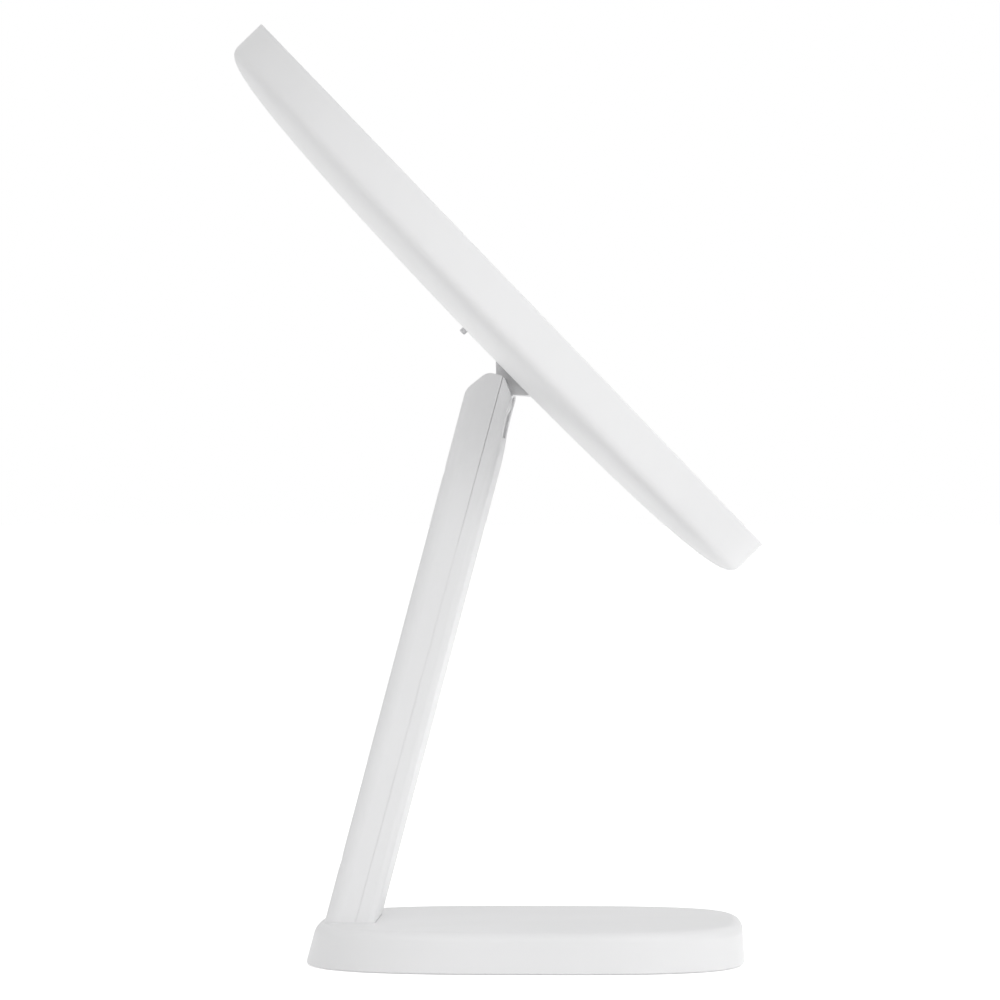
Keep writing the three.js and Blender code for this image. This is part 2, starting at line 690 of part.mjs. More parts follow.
function headShell() {
  const lip = head_lip_chamfer;
  const skin = [...domePoints(0, dome_steps), [head_radius, -lip], [head_radius - lip, 0], [rim_inside, 0],
    ...domePoints(head_wall, dome_steps).reverse()];
  let shell = solid(turned(skin));
  let inside = null;
  const add = (made) => { inside = inside ? inside.add(made) : made; };
  for (const [x, y] of carrier_post_places) {
    add(solid(bar(carrier_post_radius, -head_depth, -carrier_back - fit_gap, x, y, screw_sides)));
  }
  for (const [x, y] of board_post_places) {
    add(solid(bar(board_post_radius, -head_depth, -board_back - fit_gap, x, y, screw_sides)));
  }
  add(solid(block([hinge_below_centre - flange_half_height, hinge_below_centre + flange_half_height],
    [-flange_half_width, flange_half_width], [-head_depth, -knuckle_pad_front])));
  for (const side of [-1, 1]) {
    const middle = side * battery_rib_offset;
    add(solid(block([battery_start, battery_end],
      [middle - battery_rib / 2, middle + battery_rib / 2], [-head_depth, -battery_back - fit_gap])));
  }
  shell = shell.add(inside.intersect(domeCore(head_wall / 2)));
  for (const [x, y] of carrier_post_places) {
    const room = screwRoom(small_screw, overcut);
    shell = shell.subtract(room.translate([x, y, -carrier_seat]));
  }
  for (const [x, y] of board_post_places) {
    const room = screwRoom(board_screw, overcut);
    shell = shell.subtract(room.translate([x, y, -board_front + fit_gap]));
  }
  for (const [x, y] of knuckle_screw_places) {
    const room = screwRoom(knuckle_screw, overcut);
    shell = shell.subtract(room.translate([x, y, -flange_front + fit_gap]));
  }
  const neck = block([hinge_below_centre - knuckle_root_height / 2 - fit_gap,
    hinge_below_centre + knuckle_root_height / 2 + fit_gap],
  [-knuckle_half_width - fit_gap, knuckle_half_width + fit_gap], [-head_depth - overcut, 0]);
  const slot_half = knob_length / 2 + knob_travel / 2 + fit_gap;
  const slot = block([-knob_width / 2 - fit_gap, knob_width / 2 + fit_gap], [-slot_half, slot_half],
    [-head_depth - overcut, -switch_front]);
  const port = raised(stadium(usb_width + 2 * fit_gap, usb_height + 2 * fit_gap), -head_depth - overcut,
    -switch_front).translate(usb_x, usb_offset, 0);
  return shell.subtract(solid(neck)).subtract(solid(slot)).subtract(solid(port));
}

const carrier_seat = carrier_front + carrier_screw_sink;
const usb_x = 0;

function mirrorCarrier() {
  const channel_lip = diffuser_skirt_depth + channel_lip_gap;
  const skin = [[0, -carrier_front], [glass_radius, -carrier_front], [glass_radius, -channel_floor],
    [channel_outer - channel_wall, -channel_floor], [channel_outer - channel_wall, -channel_lip],
    [channel_outer, -channel_lip], [channel_outer, -channel_back],
    [glass_radius - channel_wall, -channel_back], [glass_radius - channel_wall, -carrier_back],
    [0, -carrier_back]];
  let carrier = solid(turned(skin));
  for (const [x, y] of carrier_post_places) {
    const room = screwRoom(small_screw, small_screw.rise + overcut);
    carrier = carrier.subtract(room.translate([x, y, -carrier_seat]));
  }
  const window_radius = touch_pad_radius + fit_gap;
  carrier = carrier.subtract(solid(bar(window_radius, -head_depth, 0, touch_pad_offset, 0, 16)));
  const [x, y] = led_lead_hole;
  return carrier.subtract(solid(bar(lead_hole_radius, -head_depth, 0, x, y, screw_sides)));
}

const led_lead_circle = (led_board_inner + led_board_outer) / 2;
const led_lead_hole = [led_lead_circle * Math.cos(led_lead_angle * radians),
  led_lead_circle * Math.sin(led_lead_angle * radians)];

function mirrorGlass() {
  return turned([[0, -glass_recess], [glass_radius - glass_bevel, -glass_recess],
    [glass_radius, -glass_recess - glass_bevel / 2], [glass_radius, -glass_back], [0, -glass_back]]);
}

function adhesiveSheet() {
  const disc = bar(glass_radius - adhesive_margin, -adhesive_front - adhesive_thickness, -adhesive_front,
    0, 0, head_segments);
  const window_radius = touch_pad_radius + fit_gap;
  let sheet = solid(disc).subtract(solid(bar(window_radius, -head_depth, 0, touch_pad_offset, 0, 16)));
  const notch = block([touch_pad_offset, head_radius], [-window_radius, window_radius], [-head_depth, 0]);
  sheet = sheet.subtract(solid(notch));
  return sheet;
}

function diffuserRing() {
  const back = -glass_recess - diffuser_thickness;
  return turned([[diffuser_inner, -glass_recess], [diffuser_outer, -glass_recess],
    [diffuser_outer, -diffuser_skirt_depth], [diffuser_outer - diffuser_skirt, -diffuser_skirt_depth],
    [diffuser_outer - diffuser_skirt, back], [diffuser_inner, back], [diffuser_inner, -glass_recess]]);
}

function ledRingBoard() {
  let board = solid(turned([[led_board_inner, -led_board_front], [led_board_outer, -led_board_front],
    [led_board_outer, -led_board_back], [led_board_inner, -led_board_back],
    [led_board_inner, -led_board_front]]));
  for (let i = 0; i < led_count; i += 1) {
    const angle = (i + 0.5) / led_count * Math.PI * 2;
    const led = block([-led_width / 2, led_width / 2], [-led_length / 2, led_length / 2],
      [-led_board_front - weld, -led_top]);
    led.translate(led_lead_circle, 0, 0).rotateZ(angle);
    board = board.add(solid(led));
  }
  return board;
}

function controlBoard() {
  const half = control_board_width / 2;
  let board = solid(block([board_high_edge, board_low_edge], [-half, half], [-board_back, -board_front]));
  const chips = [[-14, -10, 9, 9], [-30, 8, 12, 7], [-12, 12, 5, 6], [-31, -14, 6, 12]];
  for (const [x, y, length, width] of chips) {
    const place = control_board_below_centre + x;
    board = board.add(solid(block([place - length / 2, place + length / 2], [y - width / 2, y + width / 2],
      [-board_front - weld, -board_front + chip_height])));
  }
  for (const [x, y] of board_post_places) {
    board = board.subtract(solid(bar(small_screw.shank + fit_gap, -head_depth, 0, x, y, screw_sides)));
  }
  return board;
}

function switchBody() {
  const body = block([-switch_width / 2, switch_width / 2], [-switch_length / 2, switch_length / 2],
    [-switch_back, -switch_front]);
  const slot_half = knob_length / 2 + knob_travel / 2 + fit_gap;
  const slot = block([-knob_width / 2 - fit_gap, knob_width / 2 + fit_gap], [-slot_half, slot_half],
    [-switch_back - overcut, -switch_back + knob_engagement + fit_gap]);
  return solid(body).subtract(solid(slot));
}

function switchKnob() {
  const [x, y, top] = [knob_width / 2, knob_length / 2, head_depth + knob_proud];
  const ring = (z, inset) => [[-1, -1], [1, -1], [1, 1], [-1, 1]].map(([i, j]) => (
    new THREE.Vector3(i * (x - inset), j * (y - inset), z)));
  return lofted([ring(-top, knob_chamfer), ring(-top + knob_chamfer, 0),
    ring(-switch_back + knob_engagement, 0)]);
}

function usbSocket() {
  const outer = raised(stadium(usb_width, usb_height), -head_depth, -switch_front);
  const mouth = raised(stadium(usb_width - 2 * usb_wall, usb_height - 2 * usb_wall), -head_depth - overcut,
    -head_depth + usb_mouth_depth);
  const tongue = block([-usb_tongue_thickness / 2, usb_tongue_thickness / 2],
    [-usb_tongue_width / 2, usb_tongue_width / 2],
    [-head_depth + usb_tongue_recess, -head_depth + usb_mouth_depth + weld]);
  return solid(outer).subtract(solid(mouth)).add(solid(tongue));
}

function knuckle() {
  const neck_end = head_depth + knuckle_neck_length;
  const root = knuckle_root_height / 2;
  const neck = knuckle_neck_height / 2;
  const at = hinge_below_centre;
  const side = outline([[at - root, -flange_front], [at + root, -flange_front], [at + root, -head_depth],
    [at + neck, -neck_end], [at + neck, -pivot_depth], [at - neck, -pivot_depth], [at - neck, -neck_end],
    [at - root, -head_depth]]);
  const flange = block([at - flange_half_height, at + flange_half_height],
    [-flange_half_width, flange_half_width], [-flange_back, -flange_front]);
  const eye = bar(knuckle_eye_radius, -knuckle_half_width, knuckle_half_width, 0, 0, 24);
  const bore = bar(hinge_pin_radius + fit_gap, -arm_width, arm_width, 0, 0, 20);
  const turn = (geometry) => solid(geometry.rotateX(Math.PI / 2).translate(at, 0, -pivot_depth));
  let made = solid(crossways(side, 2 * knuckle_half_width)).add(solid(flange)).add(turn(eye));
  made = made.subtract(turn(bore));
  for (const [x, y] of knuckle_screw_places) {
    const hole = bar(knuckle_screw.shank + fit_gap, -head_depth, 0, x, y, screw_sides);
    made = made.subtract(solid(hole));
  }
  return made;
}

function batteryCell() {
  const half = battery_width / 2;
  const plan = roundedRectangle(battery_start, battery_end, -half, half, battery_corner);
  return raised(plan, -battery_back, -battery_front, 3);
}

const lead_level = -(board_front + board_back) / 2;
const board_edge_x = board_low_edge + fit_gap;

function batteryLead(order) {
  const y = flange_half_width + lead_clearance + order * lead_spacing;
  const level = -(battery_front + battery_back) / 2;
  const start = battery_start - fit_gap;
  return lead([[start, y, level], [start - lead_bend, y, level], [(start + board_edge_x) / 2, y + lead_radius, level],
    [board_edge_x + lead_bend, y, lead_level], [board_edge_x, y, lead_level]]);
}

// From the ring board's hole in the channel floor, across the dome, to the control board's near edge
function ledLead() {
  const [x, y] = led_lead_hole;
  const edge = -control_board_width / 2 - fit_gap;
  const end_x = board_high_edge + board_post_inset * 3;
  const below = (share) => [x + (end_x - x) * share, y + (edge - y) * share, lead_level];
  return lead([[x, y, -channel_floor - fit_gap], [x, y, -channel_back - fit_gap], below(0.06), below(0.5),
    [end_x, edge - lead_bend, lead_level], [end_x, edge, lead_level]]);
}

// From the touch sensor, around the battery and the hinge flange, to the control board's lower edge
function touchLead() {
  const start = -touch_pad_back - fit_gap;
  const under = -carrier_back - lead_clearance;
  const beside = -battery_width / 2 - lead_bend - lead_clearance;
  const end_y = -flange_half_width - 3 * lead_spacing;
  return lead([[touch_pad_offset, 0, start], [touch_pad_offset, 0, start - lead_radius],
    [touch_pad_offset, -lead_bend, under], [battery_end + lead_bend, beside + 4 * lead_bend, under],
    [battery_end, beside, under], [battery_start, beside, lead_level],
    [board_edge_x + 2 * lead_bend, end_y, lead_level], [board_edge_x, end_y, lead_level]]);
}

const touch_pad_back = glass_back + fit_gap + touch_pad_thickness;

function buildHead(mirror) {
  const tilt = new THREE.Group();
  tilt.position.set(pivot_x, 0, pivot_z);
  tilt.rotation.y = head_tilt * radians;
  mirror.add(tilt);
  const face = new THREE.Group();
  face.position.set(-hinge_below_centre, 0, pivot_depth);
  tilt.add(face);
  piece(face, 'head_back_shell', headShell(), white);
  piece(face, 'hinge_knuckle', knuckle(), inner_white);
  piece(face, 'mirror_carrier', mirrorCarrier(), inner_white);
  piece(face, 'mirror_glass', mirrorGlass(), { color: 0xdfe6ea, roughness: 0.02, metalness: 1 });
  piece(face, 'mirror_adhesive_sheet', adhesiveSheet(), { color: 0xf4f2ea, roughness: 0.8 });
  piece(face, 'light_diffuser_ring', diffuserRing(), { color: 0xfdfbf5, roughness: 0.3 });
  piece(face, 'led_ring_board', ledRingBoard(), { color: 0xf6f6f2, roughness: 0.5 });
  piece(face, 'control_board', controlBoard(), { color: 0x1f5a3a, roughness: 0.5 });
  piece(face, 'switch_body', switchBody(), { color: 0x2a2a2c, roughness: 0.5 });
  const usb = piece(face, 'usb_c_socket', usbSocket(), steel);
  usb.position.set(usb_x, usb_offset, 0);
  piece(face, 'battery_cell', batteryCell(), { color: 0xb9bdc2, roughness: 0.4, metalness: 0.6 });
  const pad = bar(touch_pad_radius, -touch_pad_back, -glass_back - fit_gap, touch_pad_offset, 0, 16);
  piece(face, 'touch_sensor_pad', pad, brass);
  piece(face, 'battery_lead_positive', batteryLead(0), { color: 0xa02020, roughness: 0.6 });
  piece(face, 'battery_lead_negative', batteryLead(1), { color: 0x1c1c1e, roughness: 0.6 });
  piece(face, 'led_ring_lead', ledLead(), { color: 0xd8d8d8, roughness: 0.6 });
  piece(face, 'touch_sensor_lead', touchLead(), { color: 0x3a5fa8, roughness: 0.6 });
  const rows = [['carrier_screw', carrier_post_places, small_screw, -carrier_seat],
    ['board_screw', board_post_places, board_screw, -board_front + fit_gap],
    ['knuckle_screw', knuckle_screw_places, knuckle_screw, -flange_front + fit_gap]];
  for (const [name, places, size, seat] of rows) {
    places.forEach(([x, y], i) => {
      const screw = piece(face, `${name}_${i + 1}`, screwGeometry(size), steel);
      screw.position.set(x, y, seat);
    });
  }
  const knob = piece(face, 'power_switch_knob', switchKnob(), { color: 0xd6d6d6, roughness: 0.45 });
  knob.position.y = -knob_travel / 2;
}

const makeup_mirror = new THREE.Group();
buildBase(makeup_mirror);
buildArm(makeup_mirror);
buildHead(makeup_mirror);
export default makeup_mirror;
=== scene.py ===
from math import cos, pi, radians, sin, sqrt, tan

import bmesh
import bpy
from mathutils import Matrix, Vector


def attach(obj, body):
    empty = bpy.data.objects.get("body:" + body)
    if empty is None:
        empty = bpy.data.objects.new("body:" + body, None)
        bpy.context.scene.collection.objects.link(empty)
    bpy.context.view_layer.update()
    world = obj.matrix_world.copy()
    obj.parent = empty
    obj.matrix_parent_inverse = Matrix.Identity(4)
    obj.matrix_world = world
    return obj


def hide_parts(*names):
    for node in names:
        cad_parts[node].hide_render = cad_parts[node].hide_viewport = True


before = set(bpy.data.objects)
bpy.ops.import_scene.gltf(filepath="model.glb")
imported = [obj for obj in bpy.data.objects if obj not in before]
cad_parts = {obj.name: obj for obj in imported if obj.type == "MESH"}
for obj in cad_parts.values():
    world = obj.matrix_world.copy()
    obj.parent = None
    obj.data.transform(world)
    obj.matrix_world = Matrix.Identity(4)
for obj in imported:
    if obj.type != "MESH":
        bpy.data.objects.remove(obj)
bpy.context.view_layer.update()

# A lighted makeup mirror, seen from its side: a round head that tilts on a slab arm in a low base.
# All lengths are written in millimetres and multiplied by MM.
MM = 0.001

# Where the arm and the head stand
ARM_LEAN = radians(14.86)
HEAD_TILT = radians(46.1)
HINGE_X = -9.933 * MM
HINGE_Z = 154.837 * MM
HINGE_BELOW_CENTRE = 19.1 * MM
HINGE_BEHIND_FACE = 26.8 * MM
hinge_place = Matrix.Translation((HINGE_X, 0, HINGE_Z))
arm_axes = hinge_place @ Matrix.Rotation(ARM_LEAN, 4, "Y")
head_axes = (hinge_place @ Matrix.Rotation(HEAD_TILT, 4, "Y")
             @ Matrix.Translation((-HINGE_BELOW_CENTRE, 0, HINGE_BEHIND_FACE)))

# Camera: level, from the side, a little way round to the front
CAMERA_PLACE = (53.5 * MM, -1795 * MM, 127.4 * MM)
CAMERA_TURN = radians(1.94)
CAMERA_LENS = 233.2
camera_data = bpy.data.cameras.new("camera")
camera_data.lens = CAMERA_LENS
camera_data.sensor_width = 36
camera_data.clip_end = 60
camera = bpy.data.objects.new("camera", camera_data)
camera.location = CAMERA_PLACE
camera.rotation_euler = (radians(90), 0, CAMERA_TURN)
bpy.context.scene.collection.objects.link(camera)
bpy.context.scene.camera = camera


# Handling pieces

MERGE_DISTANCE = 0.002 * MM
PAST_SURFACE = 3 * MM


def only(piece):
    """Makes a piece the only one selected"""
    bpy.ops.object.select_all(action="DESELECT")
    piece.select_set(True)
    bpy.context.view_layer.objects.active = piece


def begin_edit(piece, kind="FACE"):
    only(piece)
    bpy.ops.object.mode_set(mode="EDIT")
    bpy.ops.mesh.select_mode(type=kind)
    bpy.ops.mesh.select_all(action="DESELECT")


def end_edit():
    bpy.ops.object.mode_set(mode="OBJECT")


def pick(piece, kind, wanted):
    """Selects the faces, edges or corners in edit mode for which wanted(item) is true"""
    bpy.ops.mesh.select_all(action="DESELECT")
    shape = bmesh.from_edit_mesh(piece.data)
    items = {"VERT": shape.verts, "EDGE": shape.edges, "FACE": shape.faces}[kind]
    for item in items:
        if wanted(item):
            item.select_set(True)
    shape.select_flush_mode()
    bmesh.update_edit_mesh(piece.data)


def middle(item):
    """The middle of an edge or a face"""
    return sum((corner.co for corner in item.verts), Vector()) / len(item.verts)


def named(piece, name):
    piece.name = name
    piece.data.name = name
    return piece


def merge_and_face_out():
    """In edit mode: closes seams and poles and turns every face outwards"""
    bpy.ops.mesh.select_all(action="SELECT")
    bpy.ops.mesh.remove_doubles(threshold=MERGE_DISTANCE)
    bpy.ops.mesh.normals_make_consistent(inside=False)


def drawn_line(name, points, closed=False):
    """A line drawn corner by corner"""
    bpy.ops.object.select_all(action="DESELECT")
    bpy.ops.mesh.primitive_plane_add(size=MM, location=(0, 0, 0))
    piece = named(bpy.context.object, name)
    bpy.ops.object.mode_set(mode="EDIT")
    bpy.ops.mesh.select_mode(type="VERT")
    bpy.ops.mesh.select_all(action="SELECT")
    bpy.ops.mesh.merge(type="CENTER")
    bpy.ops.transform.translate(value=Vector(points[0]))
    for here, there in zip(points, points[1:]):
        step = Vector(there) - Vector(here)
        bpy.ops.mesh.extrude_vertices_move(TRANSFORM_OT_translate={"value": step})
    if closed:
        bpy.ops.mesh.select_all(action="SELECT")
        bpy.ops.mesh.edge_face_add()
    bpy.ops.object.mode_set(mode="OBJECT")
    return piece


def spun(name, profile, steps):
    """A closed round body from (radius, height) points, turned about Z"""
    piece = drawn_line(name, [(r, 0, z) for r, z in profile])
    begin_edit(piece, "VERT")
    bpy.ops.mesh.select_all(action="SELECT")
    bpy.ops.mesh.spin(steps=steps, angle=2 * pi, center=(0, 0, 0), axis=(0, 0, 1))
    merge_and_face_out()
    end_edit()
    return piece


def raised_outline(name, corners, depth):
    """A flat outline in X and Z, made as deep as given and centred along Y"""
    piece = drawn_line(name, [(x, -depth / 2, z) for x, z in corners], closed=True)
    begin_edit(piece)
    bpy.ops.mesh.select_all(action="SELECT")
    bpy.ops.mesh.extrude_region_move(TRANSFORM_OT_translate={"value": (0, depth, 0)})
    merge_and_face_out()
    end_edit()
    return piece


def block(name, low, high):
    """A block between two corners"""
    low, high = Vector(low), Vector(high)
    bpy.ops.object.select_all(action="DESELECT")
    bpy.ops.mesh.primitive_cube_add(size=1, location=(low + high) / 2)
    piece = named(bpy.context.object, name)
    piece.scale = high - low
    bpy.ops.object.transform_apply(location=True, rotation=True, scale=True)
    return piece


def rod(name, radius, start, end, sides=32):
    """A round rod between two points"""
    start, end = Vector(start), Vector(end)
    along = end - start
    bpy.ops.object.select_all(action="DESELECT")
    bpy.ops.mesh.primitive_cylinder_add(vertices=sides, radius=radius, depth=along.length,
                                        location=(start + end) / 2,
                                        rotation=along.to_track_quat("Z", "Y").to_euler())
    piece = named(bpy.context.object, name)
    bpy.ops.object.transform_apply(location=True, rotation=True, scale=True)
    return piece


def applied(piece, kind, **settings):
    """Adds a modifier with its settings and applies it"""
    only(piece)
    modifier = piece.modifiers.new(kind.lower(), kind)
    for key, value in settings.items():
        setattr(modifier, key, value)
    bpy.ops.object.modifier_apply(modifier=modifier.name)


def combined(piece, other, how):
    """Cuts another body from a piece, joins it on or keeps what they share; the other is used up"""
    applied(piece, "BOOLEAN", object=other, operation=how, solver="EXACT")
    bpy.data.objects.remove(other)


def softened(piece, width, segments=3, angle=30):
    """Rounds every edge that is sharper than an angle"""
    applied(piece, "BEVEL", width=width, segments=segments, limit_method="ANGLE",
            angle_limit=radians(angle), use_clamp_overlap=True)


def rounded_edges(piece, wanted, radius, segments):
    """Rounds the edges for which wanted(edge) is true"""
    begin_edit(piece, "EDGE")
    pick(piece, "EDGE", wanted)
    bpy.ops.mesh.bevel(offset=radius, segments=segments, profile=0.5, affect="EDGES",
                       clamp_overlap=True)
    end_edit()


def put(piece, axes):
    """Moves a piece modelled in its own axes to where these stand, with its place in its mesh"""
    only(piece)
    piece.matrix_world = axes
    bpy.ops.object.transform_apply(location=True, rotation=True, scale=True)


def smooth(piece, angle=30):
    """Shades a piece smooth up to an angle, with the large faces kept flat"""
    only(piece)
    bpy.ops.object.shade_smooth_by_angle(angle=radians(angle))
    applied(piece, "WEIGHTED_NORMAL", keep_sharp=True, mode="FACE_AREA", weight=50)


def flared_cutter(name, width, length, corner, surface, depth, flare):
    """A cutter with round corners that widens where it meets a face looking along -Z"""
    half_x, half_y = width / 2, length / 2
    piece = block(name, (-half_x, -half_y, surface + flare), (half_x, half_y, surface + depth))
    rounded_edges(piece, lambda e: abs(e.verts[0].co.z - e.verts[1].co.z) > flare, corner, 6)
    begin_edit(piece)
    pick(piece, "FACE", lambda f: f.normal.z < -0.9)
    wider = ((half_x + flare) / half_x, (half_y + flare) / half_y, 1)
    bpy.ops.mesh.extrude_region_move(TRANSFORM_OT_translate={"value": (0, 0, -flare)})
    bpy.ops.transform.resize(value=wider)
    bpy.ops.mesh.extrude_region_move(TRANSFORM_OT_translate={"value": (0, 0, -PAST_SURFACE)})
    end_edit()
    return piece


# Materials

FINE_GRAIN = 1500.0
METAL_GRAIN = 2400
GRAIN_DEPTH = 0.05 * MM


def new_group(name, inputs, outputs):
    """A shader node group with (name, kind, value) inputs and (name, kind) outputs"""
    group = bpy.data.node_groups.new(name, "ShaderNodeTree")
    for label, kind, value in inputs:
        socket = group.interface.new_socket(name=label, in_out="INPUT", socket_type=kind)
        if value is not None:
            socket.default_value = value
    for label, kind in outputs:
        group.interface.new_socket(name=label, in_out="OUTPUT", socket_type=kind)
    return group, group.nodes.new("NodeGroupInput"), group.nodes.new("NodeGroupOutput")


def math_node(tree, how, first, second):
    """A Math node fed by sockets or plain numbers"""
    node = tree.nodes.new("ShaderNodeMath")
    node.operation = how
    for socket, value in zip(node.inputs, (first, second)):
        if isinstance(value, (int, float)):
            socket.default_value = value
        else:
            tree.links.new(value, socket)
    return node.outputs[0]


def range_node(tree, value, low, high, to_low, to_high, smoothly=False):
    """A Map Range node"""
    node = tree.nodes.new("ShaderNodeMapRange")
    node.interpolation_type = "SMOOTHSTEP" if smoothly else "LINEAR"
    tree.links.new(value, node.inputs["Value"])
    for label, number in (("From Min", low), ("From Max", high), ("To Min", to_low),
                          ("To Max", to_high)):
        node.inputs[label].default_value = number
    return node.outputs["Result"]


def noise_node(tree, vector, scale, detail):
    node = tree.nodes.new("ShaderNodeTexNoise")
    node.inputs["Scale"].default_value = scale
    node.inputs["Detail"].default_value = detail
    tree.links.new(vector, node.inputs["Vector"])
    return node.outputs["Fac"]


def mix_colour(tree, factor, first, second):
    """A Mix node for colours, fed by sockets or plain colours"""
    node = tree.nodes.new("ShaderNodeMix")
    node.data_type = "RGBA"
    for socket, value in ((node.inputs["Factor"], factor), (node.inputs["A"], first),
                          (node.inputs["B"], second)):
        if hasattr(value, "is_linked"):
            tree.links.new(value, socket)
        else:
            socket.default_value = value
    return node.outputs["Result"]


def make_moulded_group():
    """Moulded surface: a fine even grain, and faint slow changes of tone and shine"""
    inputs = [("Vector", "NodeSocketVector", None),
              ("Grain Scale", "NodeSocketFloat", FINE_GRAIN),
              ("Base", "NodeSocketColor", (0.8, 0.8, 0.8, 1)),
              ("Cloud", "NodeSocketColor", (0.8, 0.8, 0.8, 1)),
              ("Shine", "NodeSocketFloat", 0.4)]
    outputs = [("Color", "NodeSocketColor"), ("Roughness", "NodeSocketFloat"),
               ("Height", "NodeSocketFloat")]
    group, given, made = new_group("moulded_surface", inputs, outputs)
    vector = given.outputs["Vector"]
    grain = group.nodes.new("ShaderNodeTexNoise")
    grain.inputs["Detail"].default_value = 3
    group.links.new(vector, grain.inputs["Vector"])
    group.links.new(given.outputs["Grain Scale"], grain.inputs["Scale"])
    clouds = noise_node(group, vector, 26, 4)
    tone = range_node(group, clouds, 0.3, 0.7, 0, 1, smoothly=True)
    colour = mix_colour(group, tone, given.outputs["Base"], given.outputs["Cloud"])
    sheen = range_node(group, noise_node(group, vector, 60, 5), 0.3, 0.7, -0.03, 0.03)
    roughness = math_node(group, "ADD", given.outputs["Shine"], sheen)
    group.links.new(colour, made.inputs["Color"])
    group.links.new(roughness, made.inputs["Roughness"])
    group.links.new(grain.outputs["Fac"], made.inputs["Height"])
    return group


moulded_surface = make_moulded_group()


def new_material(name):
    """A material with its node tree, its Principled shader and its Object coordinates"""
    material = bpy.data.materials.new(name)
    material.use_nodes = True
    tree = material.node_tree
    place = tree.nodes.new("ShaderNodeTexCoord").outputs["Object"]
    return material, tree, tree.nodes["Principled BSDF"], place


def bump(tree, shader, height, strength, distance):
    node = tree.nodes.new("ShaderNodeBump")
    node.inputs["Strength"].default_value = strength
    node.inputs["Distance"].default_value = distance
    tree.links.new(height, node.inputs["Height"])
    tree.links.new(node.outputs["Normal"], shader.inputs["Normal"])


def moulded_material(name, base, cloud, shine, grain=FINE_GRAIN, relief=0.05, metallic=0.0):
    """A moulded or painted finish: colour, faint clouds, shine and fine grain"""
    material, tree, shader, place = new_material(name)
    surface = tree.nodes.new("ShaderNodeGroup")
    surface.node_tree = moulded_surface
    surface.inputs["Grain Scale"].default_value = grain
    surface.inputs["Base"].default_value = (*base, 1)
    surface.inputs["Cloud"].default_value = (*cloud, 1)
    surface.inputs["Shine"].default_value = shine
    tree.links.new(place, surface.inputs["Vector"])
    tree.links.new(surface.outputs["Color"], shader.inputs["Base Color"])
    tree.links.new(surface.outputs["Roughness"], shader.inputs["Roughness"])
    bump(tree, shader, surface.outputs["Height"], relief, GRAIN_DEPTH)
    shader.inputs["Metallic"].default_value = metallic
    return material


def in_head_axes(tree, place):
    """Object coordinates turned and moved into the head's own axes"""
    node = tree.nodes.new("ShaderNodeMapping")
    node.vector_type = "TEXTURE"
    node.inputs["Location"].default_value = head_axes.to_translation()
    node.inputs["Rotation"].default_value = head_axes.to_euler()
    tree.links.new(place, node.inputs["Vector"])
    return node.outputs["Vector"]


def radius_about(tree, vector, x):
    """The distance from a line along Z that passes through (x, 0)"""
    parts = tree.nodes.new("ShaderNodeSeparateXYZ")
    tree.links.new(vector, parts.inputs[0])
    across = math_node(tree, "SUBTRACT", parts.outputs["X"], x)
    square = math_node(tree, "ADD", math_node(tree, "MULTIPLY", across, across),
                       math_node(tree, "MULTIPLY", parts.outputs["Y"], parts.outputs["Y"]))
    return math_node(tree, "SQRT", square, 0)


white_shell = moulded_material("white_shell", (0.84, 0.84, 0.845), (0.825, 0.826, 0.83), 0.42)
# The knuckle is the shell's white plastic, painted lighter (0.89 against 0.84) to offset the shade
# between the head and the arm: painted light.
knuckle_white_lightened_for_shade = moulded_material("knuckle_white_lightened_for_shade", (0.89, 0.89, 0.895), (0.875, 0.876, 0.88),
                                   0.46)
inner_plastic = moulded_material("inner_plastic", (0.72, 0.72, 0.7), (0.69, 0.69, 0.67), 0.55)
switch_grey = moulded_material("switch_grey", (0.8, 0.8, 0.81), (0.77, 0.77, 0.78), 0.45)
grip_rubber = moulded_material("grip_rubber", (0.42, 0.42, 0.415), (0.4, 0.4, 0.395), 0.85,
                               grain=900, relief=0.6)
steel = moulded_material("steel", (0.62, 0.63, 0.64), (0.57, 0.58, 0.59), 0.3,
                         grain=METAL_GRAIN, relief=0.08, metallic=1)
brass = moulded_material("brass", (0.78, 0.6, 0.3), (0.7, 0.53, 0.26), 0.35,
                         grain=METAL_GRAIN, relief=0.08, metallic=1)
adhesive_foam = moulded_material("adhesive_foam", (0.86, 0.84, 0.78), (0.82, 0.8, 0.74), 0.8,
                                 grain=700, relief=0.4)
white_board = moulded_material("white_board", (0.84, 0.84, 0.82), (0.8, 0.8, 0.78), 0.45)
green_board = moulded_material("green_board", (0.03, 0.17, 0.08), (0.02, 0.13, 0.06), 0.4)
black_plastic = moulded_material("black_plastic", (0.03, 0.03, 0.032), (0.025, 0.025, 0.027), 0.45)
battery_foil = moulded_material("battery_foil", (0.6, 0.62, 0.64), (0.55, 0.57, 0.59), 0.35,
                                grain=500, relief=0.3, metallic=0.8)
lead_red = moulded_material("lead_red", (0.45, 0.03, 0.03), (0.4, 0.025, 0.025), 0.5)
lead_black = moulded_material("lead_black", (0.02, 0.02, 0.022), (0.016, 0.016, 0.018), 0.5)
lead_grey = moulded_material("lead_grey", (0.6, 0.6, 0.6), (0.56, 0.56, 0.56), 0.5)
lead_blue = moulded_material("lead_blue", (0.05, 0.13, 0.42), (0.04, 0.11, 0.38), 0.5)

GLASS_RADIUS = 86.2 * MM
GROUND_EDGE = 0.9 * MM
GROUND_EDGE_BLEND = 0.3 * MM
TOUCH_MARK_X = 78 * MM
TOUCH_MARK_RADIUS = 4 * MM
TOUCH_MARK_LINE = 0.35 * MM
TOUCH_DOT_RADIUS = 0.7 * MM
TOUCH_GLOW = 0.35


